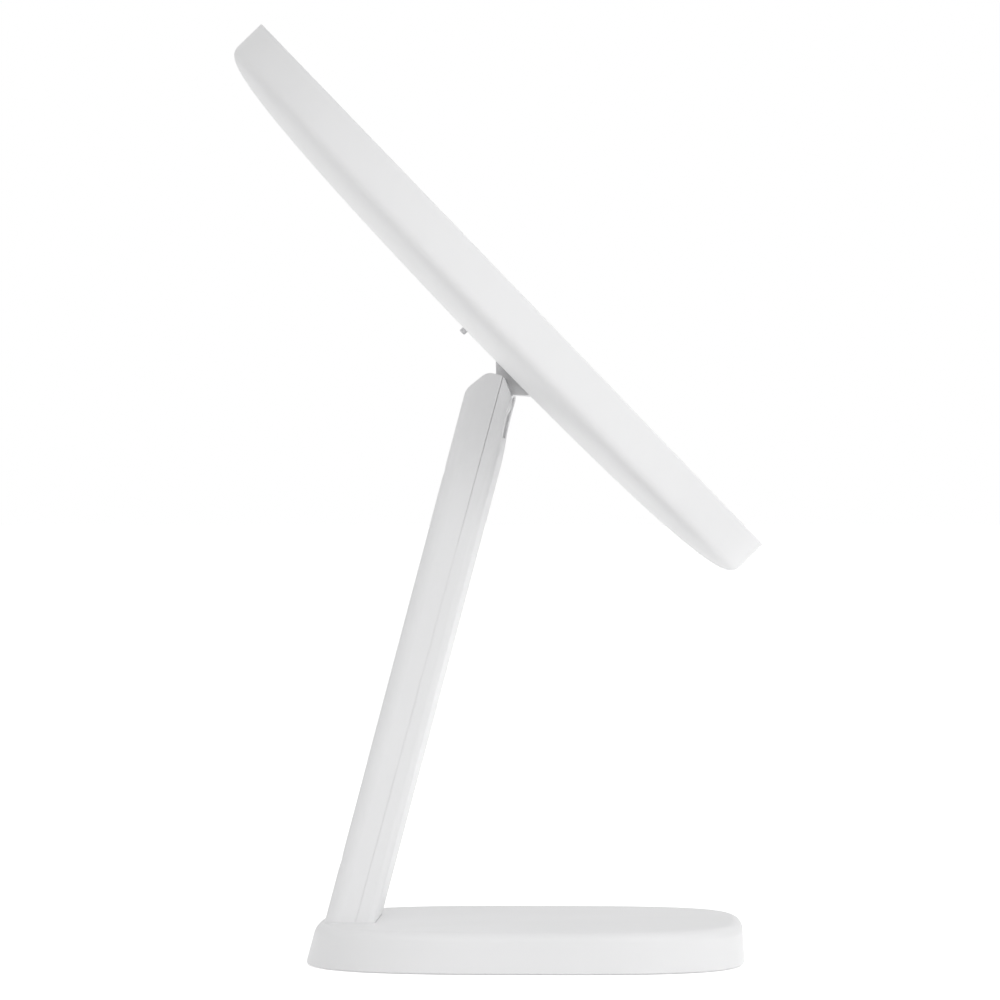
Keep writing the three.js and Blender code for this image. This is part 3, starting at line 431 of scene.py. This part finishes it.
def make_mirror_material():
    """Silvered glass: a clear ground edge, a frosted and softly lit touch mark, a faint haze"""
    material, tree, shader, place = new_material("mirror_glass")
    place = in_head_axes(tree, place)
    from_centre = radius_about(tree, place, 0)
    edge_start = GLASS_RADIUS - GROUND_EDGE
    edge = range_node(tree, from_centre, edge_start, edge_start + GROUND_EDGE_BLEND, 0, 1)
    from_mark = radius_about(tree, place, TOUCH_MARK_X)
    from_line = math_node(tree, "SUBTRACT", from_mark, TOUCH_MARK_RADIUS)
    off_line = math_node(tree, "ABSOLUTE", from_line, 0)
    ring = range_node(tree, off_line, TOUCH_MARK_LINE, TOUCH_MARK_LINE * 1.3, 1, 0)
    dot = range_node(tree, from_mark, TOUCH_DOT_RADIUS, TOUCH_DOT_RADIUS + 0.1 * MM, 1, 0)
    mark = math_node(tree, "MAXIMUM", ring, dot)
    silvered = math_node(tree, "SUBTRACT", 1, math_node(tree, "MAXIMUM", edge, mark))
    coated = mix_colour(tree, mark, (0.86, 0.885, 0.88, 1), (0.72, 0.75, 0.76, 1))
    colour = mix_colour(tree, edge, coated, (0.55, 0.68, 0.63, 1))
    tree.links.new(colour, shader.inputs["Base Color"])
    tree.links.new(silvered, shader.inputs["Metallic"])
    haze = range_node(tree, noise_node(tree, place, 35, 6), 0.45, 0.75, 0.012, 0.03)
    frosted = math_node(tree, "MULTIPLY", mark, 0.5)
    tree.links.new(math_node(tree, "ADD", haze, frosted), shader.inputs["Roughness"])
    glow = mix_colour(tree, mark, (0, 0, 0, 1), (0.95, 0.98, 1, 1))
    tree.links.new(glow, shader.inputs["Emission Color"])
    shader.inputs["Emission Strength"].default_value = TOUCH_GLOW
    shader.inputs["Coat Weight"].default_value = 1
    shader.inputs["Coat Roughness"].default_value = 0.01
    return material


mirror_glass_material = make_mirror_material()

LED_COUNT = 24
RING_GLOW = 0.06


def make_diffuser_material():
    """Milky plastic over the light ring, a little brighter over each lamp"""
    material, tree, shader, place = new_material("light_diffuser")
    place = in_head_axes(tree, place)
    parts = tree.nodes.new("ShaderNodeSeparateXYZ")
    tree.links.new(place, parts.inputs[0])
    angle = math_node(tree, "ARCTAN2", parts.outputs["Y"], parts.outputs["X"])
    wave = math_node(tree, "COSINE", math_node(tree, "MULTIPLY", angle, LED_COUNT), 0)
    near_lamp = range_node(tree, wave, -1, 1, 1, 0, smoothly=True)
    grain = noise_node(tree, place, 1800, 2)
    colour = mix_colour(tree, near_lamp, (0.82, 0.82, 0.81, 1), (0.85, 0.845, 0.83, 1))
    glow = mix_colour(tree, near_lamp, (0.93, 0.91, 0.86, 1), (1, 0.97, 0.9, 1))
    tree.links.new(colour, shader.inputs["Base Color"])
    tree.links.new(glow, shader.inputs["Emission Color"])
    tree.links.new(range_node(tree, grain, 0.3, 0.7, 0.3, 0.36), shader.inputs["Roughness"])
    shader.inputs["Emission Strength"].default_value = RING_GLOW
    shader.inputs["Subsurface Weight"].default_value = 0.3
    shader.inputs["Subsurface Scale"].default_value = 1 * MM
    bump(tree, shader, grain, 0.04, 0.03 * MM)
    return material


light_diffuser = make_diffuser_material()


def finished(piece, body, material, *nodes):
    """Gives a piece its finish, the CAD nodes that it stands for and the body that it rides on"""
    piece.data.materials.clear()
    piece.data.materials.append(material)
    if nodes:
        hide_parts(*nodes)
    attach(piece, body)


# Base

BASE_FRONT = 60.5 * MM
BASE_REAR = -60.5 * MM
BASE_HALF_WIDTH = 60 * MM
BASE_HEIGHT = 11.4 * MM
BASE_LIFT = 0.2 * MM
BASE_WALL = 2 * MM
BASE_EDGE = 3 * MM
BASE_FOOT_EDGE = 0.4 * MM
SLOT_GAP = 0.06 * MM
SLOT_EDGE = 0.16 * MM
BASE_ROOM_EDGE = 1.2 * MM
BASE_DRAFT = radians(3.5)
FRONT_ROUNDNESS = 3.4
REAR_ROUNDNESS = 3
OUTLINE_SIDES = 192
COVER_GAP = 0.3 * MM
COVER_BOTTOM = 1.2 * MM
COVER_TOP = 3.4 * MM
PAD_INSET = 4 * MM
PAD_HEIGHT = 0.9 * MM


def base_slab(name, inset, low, high):
    """A slab with the base's own outline, whose rear wall leans with the arm"""
    bpy.ops.object.select_all(action="DESELECT")
    bpy.ops.mesh.primitive_circle_add(vertices=OUTLINE_SIDES, radius=MM, fill_type="NGON")
    piece = named(bpy.context.object, name)
    rear = BASE_REAR + low * tan(ARM_LEAN) + inset
    front = BASE_FRONT - low * tan(BASE_DRAFT) - inset
    half_width = BASE_HALF_WIDTH - low * tan(BASE_DRAFT) - inset
    for number, corner in enumerate(piece.data.vertices):
        angle = 2 * pi * number / OUTLINE_SIDES
        c, s = cos(angle), sin(angle)
        power = 2 / (FRONT_ROUNDNESS if c > 0 else REAR_ROUNDNESS)
        along = abs(c) ** power if c > 0 else -abs(c) ** power
        across = abs(s) ** power if s > 0 else -abs(s) ** power
        x = (rear + front) / 2 + (front - rear) / 2 * along
        corner.co = (x, half_width * across, low)
    begin_edit(piece)
    bpy.ops.mesh.select_all(action="SELECT")
    rise = high - low
    bpy.ops.mesh.extrude_region_move(TRANSFORM_OT_translate={"value": (0, 0, rise)})
    top_rear, top_front = rear + rise * tan(ARM_LEAN), front - rise * tan(BASE_DRAFT)
    shorter = (top_front - top_rear) / (front - rear)
    narrower = 1 - rise * tan(BASE_DRAFT) / half_width
    still = (top_front - front * shorter) / (1 - shorter)
    bpy.ops.transform.resize(value=(shorter, narrower, 1), center_override=(still, 0, 0))
    merge_and_face_out()
    end_edit()
    return piece


def rim_at(height):
    """Picks the level edges at a height"""
    return lambda edge: all(abs(corner.co.z - height) < 0.01 * MM for corner in edge.verts)


ARM_HALF_WIDTH = 22 * MM
ARM_HALF_THICKNESS = 6.75 * MM
ARM_REAR_CORNER = 4.5 * MM
ARM_FRONT_CORNER = 2.2 * MM
ARM_BAR_LENGTH = 175 * MM
SLOT_TOP = -120 * MM


def arm_bar(name, gap, top):
    """The arm's section as a bar down from a height, in the arm's axes"""
    x, y = ARM_HALF_THICKNESS + gap, ARM_HALF_WIDTH + gap
    piece = block(name, (-x, -y, top - ARM_BAR_LENGTH), (x, y, top))
    upright = lambda e, side: (abs(e.verts[0].co.z - e.verts[1].co.z) > x
                               and e.verts[0].co.x * side > 0 and e.verts[1].co.x * side > 0)
    rounded_edges(piece, lambda e: upright(e, -1), ARM_REAR_CORNER + gap, 8)
    rounded_edges(piece, lambda e: upright(e, 1), ARM_FRONT_CORNER + gap, 5)
    return piece


def around_slot(edge):
    """The rim of the arm's slot in the deck"""
    if not rim_at(BASE_HEIGHT)(edge) or len(edge.link_faces) != 2:
        return False
    return edge.calc_face_angle(0) > radians(40)


def make_base_shell():
    """The base's top shell, hollow and with the slot that the arm stands in"""
    shell = base_slab("base_top_shell", 0, BASE_LIFT, BASE_HEIGHT)
    rounded_edges(shell, rim_at(BASE_HEIGHT), BASE_EDGE, 8)
    rounded_edges(shell, rim_at(BASE_LIFT), BASE_FOOT_EDGE, 4)
    room = base_slab("base_room", BASE_WALL, 0, BASE_HEIGHT - BASE_WALL)
    rounded_edges(room, rim_at(BASE_HEIGHT - BASE_WALL), BASE_ROOM_EDGE, 3)
    combined(shell, room, "DIFFERENCE")
    slot = arm_bar("base_slot", SLOT_GAP, SLOT_TOP)
    put(slot, arm_axes)
    combined(shell, slot, "DIFFERENCE")
    rounded_edges(shell, around_slot, SLOT_EDGE, 3)
    smooth(shell)
    finished(shell, "stand", white_shell, "base_top_shell")


def make_bottom_cover():
    cover = base_slab("base_bottom_cover", BASE_WALL + COVER_GAP, COVER_BOTTOM, COVER_TOP)
    softened(cover, 0.4 * MM)
    smooth(cover)
    finished(cover, "stand", inner_plastic, "base_bottom_cover")


def make_grip_pad():
    pad = base_slab("base_grip_pad", PAD_INSET, 0, PAD_HEIGHT)
    softened(pad, 0.25 * MM, 2)
    smooth(pad)
    finished(pad, "stand", grip_rubber, "base_grip_pad")


make_base_shell()
make_bottom_cover()
make_grip_pad()


# Arm, modelled in its own axes: the hinge at the origin and Z up the arm

SEAM_LOW_X = 1.6 * MM
SEAM_HIGH_X = 2.4 * MM
SEAM_LOW_Z = -160 * MM
SEAM_HIGH_Z = 8 * MM
SEAM_GAP = 0.02 * MM
GROOVE_WIDTH = 0.36 * MM
GROOVE_DEPTH = 0.1 * MM
SEAM_OPENING = 0.12 * MM
SEAM_OPENING_Z = -26 * MM
ARM_WALL = 2.2 * MM
ARM_TOP = 7.4 * MM
FORK_HALF_WIDTH = 10 * MM
FORK_FLOOR = -9 * MM
FORK_FRONT = 5.9 * MM
FORK_SLOPE_START = -14.4 * MM
FORK_FRONT_LOW = -5.4 * MM
FORK_FRONT_HIGH = 2.8 * MM
ARM_REAR_HIGH = 1.2 * MM
ARM_EDGE = 0.6 * MM
FORK_EDGE = 0.35 * MM
OUTSIDE_ARM = 10 * MM
ABOVE_ARM = 12 * MM
BELOW_ARM = -170 * MM
PIN_BORE_RADIUS = 2.8 * MM
PIN_BORE_HALF_LENGTH = 18.3 * MM
ARM_FOOT_Z = 5.7 * MM
ARM_SCREW_SEAT = -4.85 * MM
ARM_SCREW_PLACES = [(y * MM, z * MM) for z in (-22, -132.4) for y in (-16, 16)]
WELL_RADIUS = 2.7 * MM
WELL_EDGE = 0.2 * MM
SCREW_HOLE_RADIUS = 1.5 * MM


def arm_foot(x):
    """Where the arm's foot ends inside the base, at a depth x in the arm's axes"""
    return -(HINGE_Z - ARM_FOOT_Z - x * sin(ARM_LEAN)) / cos(ARM_LEAN)


def arm_side():
    """What the arm's bar is cut to: a flat top between two slanted corners, and a level foot"""
    x = ARM_HALF_THICKNESS
    rear, top_rear, top_front = (-x, ARM_REAR_HIGH), (-2 * MM, ARM_TOP), (2.6 * MM, ARM_TOP)
    front_high, front_low = (FORK_FRONT, FORK_FRONT_HIGH), (FORK_FRONT, FORK_FRONT_LOW)
    slope_start = (x, FORK_SLOPE_START)
    side = raised_outline("arm_side", [
        (-x, arm_foot(-x)), (x, arm_foot(x)), slope_start, front_low, front_high, top_front,
        top_rear, rear], 3 * ARM_HALF_WIDTH)
    across = lambda e: abs(e.verts[0].co.y - e.verts[1].co.y) > ARM_HALF_WIDTH
    near = lambda e, spot: (middle(e).xz - Vector(spot)).length < 0.2 * MM
    for spot, radius in ((rear, 1.6 * MM), (top_rear, 1.5 * MM), (top_front, 0.8 * MM),
                         (front_high, 1 * MM), (front_low, 3 * MM), (slope_start, 3 * MM)):
        rounded_edges(side, lambda e: across(e) and near(e, spot), radius, 5)
    return side


def sink_wells(shell):
    """Sinks a well with a softened rim for each screw in the rear face"""
    for y, z in ARM_SCREW_PLACES:
        well = rod("well", WELL_RADIUS, (-OUTSIDE_ARM, y, z), (ARM_SCREW_SEAT, y, z), 40)
        combined(shell, well, "DIFFERENCE")
        hole = rod("hole", SCREW_HOLE_RADIUS, (-OUTSIDE_ARM, y, z), (0, y, z))
        combined(shell, hole, "DIFFERENCE")
    at_face = lambda c: c.co.x < -ARM_HALF_THICKNESS + 0.05 * MM
    on_rim = lambda c: any(abs((c.co.yz - Vector(place)).length - WELL_RADIUS) < 0.02 * MM
                           for place in ARM_SCREW_PLACES)
    rounded_edges(shell, lambda e: all(at_face(c) and on_rim(c) for c in e.verts), WELL_EDGE, 2)


def seam_planes(side):
    """A point and a direction for the parting face, and for the part of it that opens at the top"""
    low = Vector((SEAM_LOW_X + side * SEAM_GAP / 2, 0, SEAM_LOW_Z))
    high = Vector((SEAM_HIGH_X + side * SEAM_GAP / 2, 0, SEAM_HIGH_Z))
    start = low.lerp(high, (SEAM_OPENING_Z - low.z) / (high.z - low.z))
    opened = high + Vector((side * SEAM_OPENING / 2, 0, 0))
    for point, end in ((low, high), (start, opened)):
        along = (end - point).normalized()
        yield point, Vector((along.z, 0, -along.x))


def sink_grooves(shell):
    """Sinks a shallow groove along the parting line in each side of the arm"""
    half = GROOVE_WIDTH / 2
    outline = [(SEAM_LOW_X - half, SEAM_LOW_Z), (SEAM_LOW_X + half, SEAM_LOW_Z),
               (SEAM_HIGH_X + half, SEAM_HIGH_Z), (SEAM_HIGH_X - half, SEAM_HIGH_Z)]
    for side in (-1, 1):
        groove = raised_outline("groove", outline, 2 * MM)
        put(groove, Matrix.Translation((0, side * (ARM_HALF_WIDTH - GROOVE_DEPTH + MM), 0)))
        combined(shell, groove, "DIFFERENCE")


def cut_seam(slab, front):
    """Keeps one side of the parting line, which leans forward a little and opens towards the top"""
    for point, across in seam_planes(1 if front else -1):
        begin_edit(slab, "VERT")
        bpy.ops.mesh.select_all(action="SELECT")
        bpy.ops.mesh.bisect(plane_co=point, plane_no=across, use_fill=True, clear_inner=front,
                            clear_outer=not front)
        end_edit()


def arm_shell(name, front):
    """One of the arm's two shells, with its half of the fork, the hollow and the pin's bore"""
    shell = arm_bar(name, 0, ABOVE_ARM)
    combined(shell, arm_side(), "INTERSECT")
    softened(shell, ARM_EDGE, 3, 35)
    fork = block("fork", (-OUTSIDE_ARM, -FORK_HALF_WIDTH, FORK_FLOOR),
                 (OUTSIDE_ARM, FORK_HALF_WIDTH, ABOVE_ARM))
    combined(shell, fork, "DIFFERENCE")
    softened(shell, FORK_EDGE, 2, 35)
    inside = ARM_HALF_THICKNESS - ARM_WALL
    hollow = block("hollow", (-inside, -ARM_HALF_WIDTH + ARM_WALL, BELOW_ARM),
                   (inside, ARM_HALF_WIDTH - ARM_WALL, FORK_FLOOR - ARM_WALL))
    combined(shell, hollow, "DIFFERENCE")
    bore = rod("bore", PIN_BORE_RADIUS, (0, -PIN_BORE_HALF_LENGTH, 0), (0, PIN_BORE_HALF_LENGTH, 0))
    combined(shell, bore, "DIFFERENCE")
    sink_grooves(shell)
    cut_seam(shell, front)
    if not front:
        sink_wells(shell)
    put(shell, arm_axes)
    smooth(shell)
    finished(shell, "stand", white_shell, name)


arm_shell("arm_rear_shell", False)
arm_shell("arm_front_shell", True)


# Head, modelled in its own axes: the front plane at z = 0, X down the glass, Z out of it

HEAD_RADIUS = 100 * MM
RIM_DEPTH = 7.5 * MM
HEAD_DEPTH = 18 * MM
HEAD_WALL = 2.2 * MM
RIM_INSIDE = HEAD_RADIUS - HEAD_WALL
LIP_ROUND = 0.4 * MM
HEAD_STEPS = 144
DOME_STEPS = 44
DOME_CROWDING = 1.9
ROOM_DEPTH = 8 * MM
PORT_Y = 19 * MM
KNOB_REST_Y = -1.5 * MM
KNOB_RISE = 1.4 * MM


def dome_profile(offset):
    """Radius and height of the dome from its middle to its rim, closer together where it turns"""
    points = []
    for number in range(DOME_STEPS + 1):
        angle = (1 - (1 - number / DOME_STEPS) ** DOME_CROWDING) * pi / 2
        depth = RIM_DEPTH - offset + (HEAD_DEPTH - RIM_DEPTH) * sqrt(max(cos(angle), 0))
        points.append(((HEAD_RADIUS - offset) * sin(angle), -depth))
    return points


def quarter_round(x, z, radius, start, steps=4):
    """Points of a quarter circle about (x, z), from an angle on, anticlockwise"""
    turns = [start + 90 * number / steps for number in range(steps + 1)]
    return [(x + radius * cos(radians(t)), z + radius * sin(radians(t))) for t in turns]


def cut_room(shell, name, width, length, corner, flare, x=0, y=0):
    """Cuts an opening with round corners and a flared mouth into the flat middle of the back"""
    room = flared_cutter(name, width, length, corner, -HEAD_DEPTH, ROOM_DEPTH, flare)
    put(room, Matrix.Translation((x, y, 0)))
    combined(shell, room, "DIFFERENCE")


def make_head_shell():
    """The head's dish, open for the neck, the knob and the port"""
    lip = quarter_round(HEAD_RADIUS - LIP_ROUND, -LIP_ROUND, LIP_ROUND, 0)
    inner_lip = quarter_round(RIM_INSIDE + LIP_ROUND, -LIP_ROUND, LIP_ROUND, 90)
    skin = dome_profile(0) + lip + inner_lip + dome_profile(HEAD_WALL)[::-1]
    shell = spun("head_back_shell", skin, HEAD_STEPS)
    cut_room(shell, "neck_room", width=13.9 * MM, length=17.4 * MM, corner=1.2 * MM,
             flare=0.3 * MM, x=HINGE_BELOW_CENTRE)
    cut_room(shell, "knob_room", width=2.3 * MM, length=7.6 * MM, corner=1.1 * MM,
             flare=0.3 * MM)
    cut_room(shell, "port_room", width=3.8 * MM, length=9.6 * MM, corner=1.88 * MM,
             flare=0.35 * MM, y=PORT_Y)
    put(shell, head_axes)
    smooth(shell)
    finished(shell, "head", white_shell, "head_back_shell")


def make_glass():
    """The round mirror with its bevelled front edge"""
    front, back, bevel = -0.3 * MM, -3.3 * MM, 0.8 * MM
    profile = [(0, front), (GLASS_RADIUS - bevel, front),
               (GLASS_RADIUS - bevel * 0.35, front - 0.15 * MM),
               (GLASS_RADIUS, front - 0.45 * MM), (GLASS_RADIUS, back + 0.2 * MM),
               (GLASS_RADIUS - 0.2 * MM, back), (0, back)]
    glass = spun("mirror_glass", profile, HEAD_STEPS)
    put(glass, head_axes)
    smooth(glass, 20)
    finished(glass, "head", mirror_glass_material, "mirror_glass")


def make_diffuser():
    """The milky ring round the mirror, with a skirt behind it"""
    inner, outer = 86.5 * MM, 97.5 * MM
    front, back, skirt = -0.3 * MM, -2.1 * MM, -4.7 * MM
    edge = 0.35 * MM
    profile = (quarter_round(outer - edge, front - edge, edge, 0)
               + quarter_round(inner + edge, front - edge, edge, 90)
               + [(inner, back), (outer - 1.6 * MM, back), (outer - 1.6 * MM, skirt),
                  (outer, skirt)])
    ring = spun("light_diffuser_ring", profile + profile[:1], HEAD_STEPS)
    put(ring, head_axes)
    smooth(ring)
    finished(ring, "head", light_diffuser, "light_diffuser_ring")


def make_knuckle():
    """The neck that leaves the head, with the barrel round the pin and the flange inside"""
    at, root, neck = HINGE_BELOW_CENTRE, 6.65 * MM, 3.5 * MM
    barrel_radius, half_width = 5.8 * MM, 8.4 * MM
    flange_half_length, flange_half_width = 12.65 * MM, 16.4 * MM
    surface, neck_end = -HEAD_DEPTH, -HEAD_DEPTH - 2.9 * MM
    flange_front, flange_back = -11.5 * MM, -13.5 * MM
    eye = -HINGE_BEHIND_FACE
    side = [(at - root, flange_front), (at + root, flange_front), (at + root, surface),
            (at + neck, neck_end), (at + neck, eye), (at - neck, eye), (at - neck, neck_end),
            (at - root, surface)]
    knuckle = raised_outline("hinge_knuckle", side, 2 * half_width)
    barrel = rod("barrel", barrel_radius, (at, -half_width, eye), (at, half_width, eye), 64)
    combined(knuckle, barrel, "UNION")
    softened(knuckle, 0.45 * MM)
    flange = block("flange", (at - flange_half_length, -flange_half_width, flange_back),
                   (at + flange_half_length, flange_half_width, flange_front))
    combined(knuckle, flange, "UNION")
    bore = rod("bore", PIN_BORE_RADIUS, (at, -12 * MM, eye), (at, 12 * MM, eye), 48)
    combined(knuckle, bore, "DIFFERENCE")
    put(knuckle, head_axes)
    smooth(knuckle)
    # Its finish is painted lighter than the shell's white to offset the hinge's shade.
    finished(knuckle, "head", knuckle_white_lightened_for_shade, "hinge_knuckle")


def make_knob():
    """The switch's knob, with three grooves across for the finger"""
    half_width, half_length, foot = 0.85 * MM, 2 * MM, -14 * MM
    groove_radius, groove_step = 0.22 * MM, 0.95 * MM
    top = -HEAD_DEPTH - KNOB_RISE
    knob = block("power_switch_knob", (-half_width, KNOB_REST_Y - half_length, top),
                 (half_width, KNOB_REST_Y + half_length, foot))
    softened(knob, 0.22 * MM, 3)
    for step in (-1, 0, 1):
        y = KNOB_REST_Y + step * groove_step
        groove = rod("groove", groove_radius, (-2 * MM, y, top), (2 * MM, y, top), 16)
        combined(knob, groove, "DIFFERENCE")
    put(knob, head_axes)
    smooth(knob)
    finished(knob, "switch", switch_grey, "power_switch_knob")


def make_port():
    """The charging socket and the tongue in it"""
    mouth, back, wall = -HEAD_DEPTH, -11.8 * MM, 0.4 * MM
    half_x, half_y, corner = 1.6 * MM, 4.5 * MM, 1.58 * MM
    tongue_x, tongue_y = 0.35 * MM, 3.2 * MM
    socket = block("usb_c_socket", (-half_x, PORT_Y - half_y, mouth),
                   (half_x, PORT_Y + half_y, back))
    upright = lambda e: abs(e.verts[0].co.z - e.verts[1].co.z) > 3 * MM
    rounded_edges(socket, upright, corner, 8)
    inner = block("mouth", (wall - half_x, PORT_Y + wall - half_y, mouth - 2 * MM),
                  (half_x - wall, PORT_Y + half_y - wall, back - 1.2 * MM))
    rounded_edges(inner, upright, corner - wall, 8)
    combined(socket, inner, "DIFFERENCE")
    softened(socket, 0.08 * MM, 2)
    put(socket, head_axes)
    smooth(socket)
    finished(socket, "head", steel, "usb_c_socket")
    tongue = block("usb_c_tongue", (-tongue_x, PORT_Y - tongue_y, mouth + 0.8 * MM),
                   (tongue_x, PORT_Y + tongue_y, back - 1.1 * MM))
    softened(tongue, 0.1 * MM, 2)
    put(tongue, head_axes)
    smooth(tongue)
    finished(tongue, "head", black_plastic)


make_head_shell()
make_glass()
make_diffuser()
make_knuckle()
make_knob()
make_port()


# Screws that close the arm, with cross recesses

def make_arm_screw(number, y, z):
    """A pan-head screw; each recess is turned a little further than the one before"""
    head, rise, shank, length = 2.4 * MM, 1.6 * MM, 1.2 * MM, 9 * MM
    wing_length, wing_width, recess = 1.3 * MM, 0.28 * MM, 0.9 * MM
    profile = [(0, rise), (head * 0.55, rise), (head * 0.85, rise * 0.82), (head, rise * 0.45),
               (head, 0), (shank, 0), (shank, -length), (0, -length)]
    screw = spun(f"arm_shell_screw_{number}", profile, 40)
    for turn in (0, 90):
        wing = block("wing", (-wing_length, -wing_width, rise - recess),
                     (wing_length, wing_width, rise + MM))
        put(wing, Matrix.Rotation(radians(turn + 20 * number), 4, "Z"))
        combined(screw, wing, "DIFFERENCE")
    out = Matrix.Translation((ARM_SCREW_SEAT, y, z)) @ Matrix.Rotation(radians(-90), 4, "Y")
    put(screw, arm_axes @ out)
    smooth(screw)
    finished(screw, "stand", steel, f"arm_shell_screw_{number}")


for number, (y, z) in enumerate(ARM_SCREW_PLACES, 1):
    make_arm_screw(number, y, z)


# Finishes of the CAD nodes that show as they are

CARRIED_FINISHES = {
    "mirror_carrier": inner_plastic, "mirror_adhesive_sheet": adhesive_foam,
    "led_ring_board": white_board, "control_board": green_board, "switch_body": black_plastic,
    "battery_cell": battery_foil, "touch_sensor_pad": brass, "friction_washer": inner_plastic,
    "battery_lead_positive": lead_red, "battery_lead_negative": lead_black,
    "led_ring_lead": lead_grey, "touch_sensor_lead": lead_blue,
}
for name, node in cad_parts.items():
    finish = next((m for start, m in CARRIED_FINISHES.items() if name.startswith(start)), steel)
    if not node.data.materials:
        node.data.materials.append(finish)
    for socket in range(len(node.data.materials)):
        node.data.materials[socket] = finish


# Floor, world and lamps

FLOOR_RADIUS = 30
FLOOR_GAP = 0.02 * MM
FLOOR_GLOW = 0.55
EVEN_LIGHT = 0.515
REAR_LIGHT = 0.6
BAND_DIRECTION = (0.62, 0.55, 0.56)
BAND_COUNT = 26
BAND_DARK = 0.58
LAMP_AIM = Vector((0, 0, 0.1))


def make_floor():
    """A white floor with a faint glow of its own, so that it looks as white as the room"""
    bpy.ops.object.select_all(action="DESELECT")
    bpy.ops.mesh.primitive_circle_add(vertices=64, radius=FLOOR_RADIUS, fill_type="NGON",
                                      location=(0, 0, -FLOOR_GAP))
    floor = named(bpy.context.object, "floor")
    material, tree, shader, place = new_material("floor_white")
    shader.inputs["Roughness"].default_value = 0.9
    speckle = noise_node(tree, place, 40, 3)
    tree.links.new(mix_colour(tree, speckle, (0.9, 0.9, 0.9, 1), (0.92, 0.92, 0.92, 1)),
                   shader.inputs["Base Color"])
    rays = tree.nodes.new("ShaderNodeLightPath")
    mirrored = math_node(tree, "MAXIMUM", rays.outputs["Is Glossy Ray"],
                         rays.outputs["Is Transmission Ray"])
    seen = math_node(tree, "MAXIMUM", rays.outputs["Is Camera Ray"], mirrored)
    glow = math_node(tree, "MULTIPLY", seen, FLOOR_GLOW)
    shader.inputs["Emission Color"].default_value = (1, 1, 1, 1)
    tree.links.new(glow, shader.inputs["Emission Strength"])
    floor.data.materials.append(material)


def make_world():
    """A white room: it looks white, glossy faces see soft bands in it, and it lights evenly"""
    world = bpy.data.worlds.new("white_room")
    bpy.context.scene.world = world
    world.use_nodes = True
    tree = world.node_tree
    background = tree.nodes["Background"]
    look = tree.nodes.new("ShaderNodeTexCoord").outputs["Generated"]
    parts = tree.nodes.new("ShaderNodeSeparateXYZ")
    tree.links.new(look, parts.inputs[0])
    toward_rear = math_node(tree, "MINIMUM", parts.outputs["X"], 0)
    rear_square = math_node(tree, "MULTIPLY", toward_rear, toward_rear)
    rear_light = math_node(tree, "MULTIPLY", rear_square, REAR_LIGHT)
    light = math_node(tree, "ADD", rear_light, EVEN_LIGHT)
    across = tree.nodes.new("ShaderNodeVectorMath")
    across.operation = "DOT_PRODUCT"
    across.inputs[1].default_value = BAND_DIRECTION
    tree.links.new(look, across.inputs[0])
    phase = math_node(tree, "MULTIPLY", across.outputs["Value"], BAND_COUNT)
    band = math_node(tree, "SINE", phase, 0)
    bands = range_node(tree, band, -1, 1, BAND_DARK, 1)
    rays = tree.nodes.new("ShaderNodeLightPath")
    clear = math_node(tree, "MAXIMUM", rays.outputs["Is Camera Ray"],
                      rays.outputs["Is Transmission Ray"])
    reflected = mix_colour(tree, rays.outputs["Is Glossy Ray"], light, bands)
    strength = mix_colour(tree, clear, reflected, (1, 1, 1, 1))
    background.inputs["Color"].default_value = (1, 1, 1, 1)
    tree.links.new(strength, background.inputs["Strength"])


def make_lamp(name, place, size, power):
    """A square lamp that faces the object and isn't seen itself"""
    data = bpy.data.lights.new(name, "AREA")
    data.energy = power
    data.size = size
    lamp = bpy.data.objects.new(name, data)
    lamp.location = place
    aim = LAMP_AIM - Vector(place)
    lamp.rotation_euler = aim.to_track_quat("-Z", "Y").to_euler()
    lamp.visible_camera = False
    lamp.visible_glossy = False
    bpy.context.scene.collection.objects.link(lamp)


make_floor()
make_world()
make_lamp("low_lamp_near", (0.8, -1.2, 0.15), 0.6, 3.5)
make_lamp("high_lamp_near", (0.7, -0.7, 0.9), 0.6, 2.2)
make_lamp("side_lamp_near", (0.1, -1, 0.75), 0.5, 1.8)
make_lamp("lamp_front", (0.6, 0.05, 0.15), 0.4, 0.65)
make_lamp("lamp_far", (0.3, 1.2, 0.5), 0.6, 3.4)
bpy.context.scene.view_settings.view_transform = "Standard"
